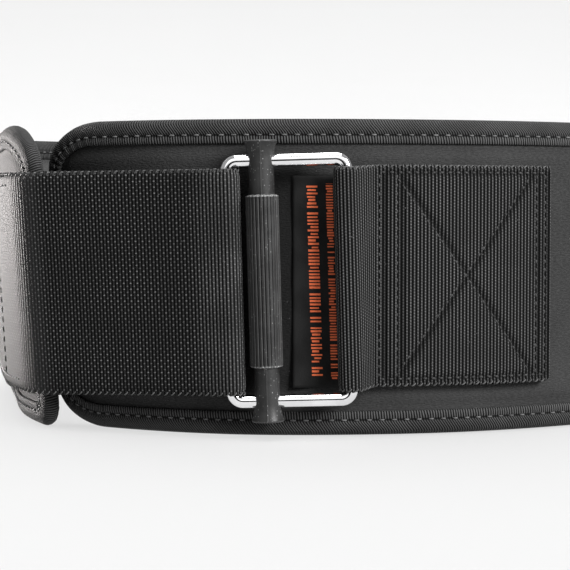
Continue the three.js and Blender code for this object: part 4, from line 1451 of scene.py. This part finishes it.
def lamp(kind, name, place, target, power, objects, tint=(1, 1, 1), **settings):
    """A lamp at place, in metres, turned to face target, that reaches these objects only."""
    data = bpy.data.lights.new(name, kind)
    data.energy = power
    data.color = tint
    for setting, value in settings.items():
        setattr(data, setting, value)
    lamp_object = bpy.data.objects.new(name, data)
    bpy.context.collection.objects.link(lamp_object)
    lamp_object.location = place
    direction = np.array(target) - np.array(place)
    yaw = np.arctan2(direction[0], direction[1])
    tilt = np.arctan2(np.hypot(*direction[:2]), -direction[2])
    lamp_object.rotation_euler = (tilt, 0, -yaw)
    shine_on(lamp_object, name + " reaches", objects)


def soft_light(name, place, target, size, power, objects):
    """A rectangular area light."""
    lamp("AREA", name, place, target, power, objects, shape="RECTANGLE", size=size[0], size_y=size[1])


def left_spot(name, power, objects):
    """A warm spot from the left and a little behind, on the belt's left end."""
    cone = {"spot_size": np.radians(10), "spot_blend": 0.6, "shadow_soft_size": 0.2}
    place = (-1.15, 0.62, 0.055)
    target = (-0.14, -0.06, 0.055)
    lamp("SPOT", name, place, target, power, objects, (1, 0.95, 0.93), **cone)


pieces = [rider[0] for rider in RIDERS]
taped = [tape, outer_stitches, inner_stitches]
strapped = [strap, strap_selvage, tail_stitches]
soft_light("key_right", (1.25, -1.25, 0.95), (0, 0, 0.05), (0.8, 0.8), 84, pieces)
soft_light("top", (0.1, 0.0, 1.7), (0, 0, 0.05), (1.2, 0.9), 36, pieces)
soft_light("card_for_ring", (0, -1.7, 1.35), (0, 0, 0.9), (3.2, 1.7), 18, [ring])
left_spot("left_spot_for_cloth", 2500, [body, lining])
left_spot("left_spot_for_strap", 1600, strapped)
left_spot("left_spot_for_tape", 1250, taped)

sun_data = bpy.data.lights.new("paper_sun", "SUN")
sun_data.energy = 2.64
sun_data.angle = np.radians(50)
sun = bpy.data.objects.new("paper_sun", sun_data)
bpy.context.collection.objects.link(sun)
sun.rotation_euler = (np.radians(18), 0, 0)
shine_on(sun, "paper_sun reaches", [floor])
sun.light_linking.blocker_collection = sun.light_linking.receiver_collection

# %% [markdown]
# Polished wire shows the whole room. Photographers lay a strip of black card below the lens, so that a
# thin dark line runs along the bright metal and gives it its shape. The strip here is seen only by
# mirror-like reflections: the camera looks through it and it throws no shadow.

# %% Black card


def black_card(low, high, half_width, y):
    """An upright rectangle across the view, between two heights in metres."""
    corners = [(-half_width, y, low), (half_width, y, low), (half_width, y, high), (-half_width, y, high)]
    mesh = bpy.data.meshes.new("black_card")
    mesh.from_pydata(corners, [], [(0, 1, 2, 3)])
    card = bpy.data.objects.new("black_card", mesh)
    bpy.context.collection.objects.link(card)
    material, tree, shader, position = new_material("Black card", Roughness=0.9, Specular_IOR_Level=0.0)
    fuzz = use_group(tree, fibres, {"Vector": position, "Fibre scale": 500.0})["Fuzz"]
    tree.links.new(blend(tree, fuzz, grey(0.002), grey(0.006)), shader.inputs["Base Color"])
    mesh.materials.append(material)
    for kind in ("camera", "diffuse", "shadow", "transmission", "volume_scatter"):
        setattr(card, "visible_" + kind, False)


black_card(0.0, 0.11, 0.4, -0.42)

# %% Sky
world = bpy.data.worlds.new("Pale sky")
world.use_nodes = True
world.node_tree.nodes["Background"].inputs["Color"].default_value = (1, 1, 1, 1)
world.node_tree.nodes["Background"].inputs["Strength"].default_value = 0.34
bpy.context.scene.world = world
bpy.context.scene.view_settings.view_transform = "Standard"

# %% [markdown]
# ## Camera
#
# The picture was taken with a long lens a little above the belt's middle, looking slightly down, and the
# belt runs out of its right and left sides.

# %% Camera
camera_data = bpy.data.cameras.new("camera")
camera_data.lens = 109.9
camera_data.sensor_width = 36
camera_data.clip_end = 20
camera = bpy.data.objects.new("camera", camera_data)
bpy.context.collection.objects.link(camera)
camera.location = (-0.01307, -0.7064, 0.0799)
camera.rotation_euler = (np.radians(90 - 2.66), 0, 0)
bpy.context.scene.camera = camera
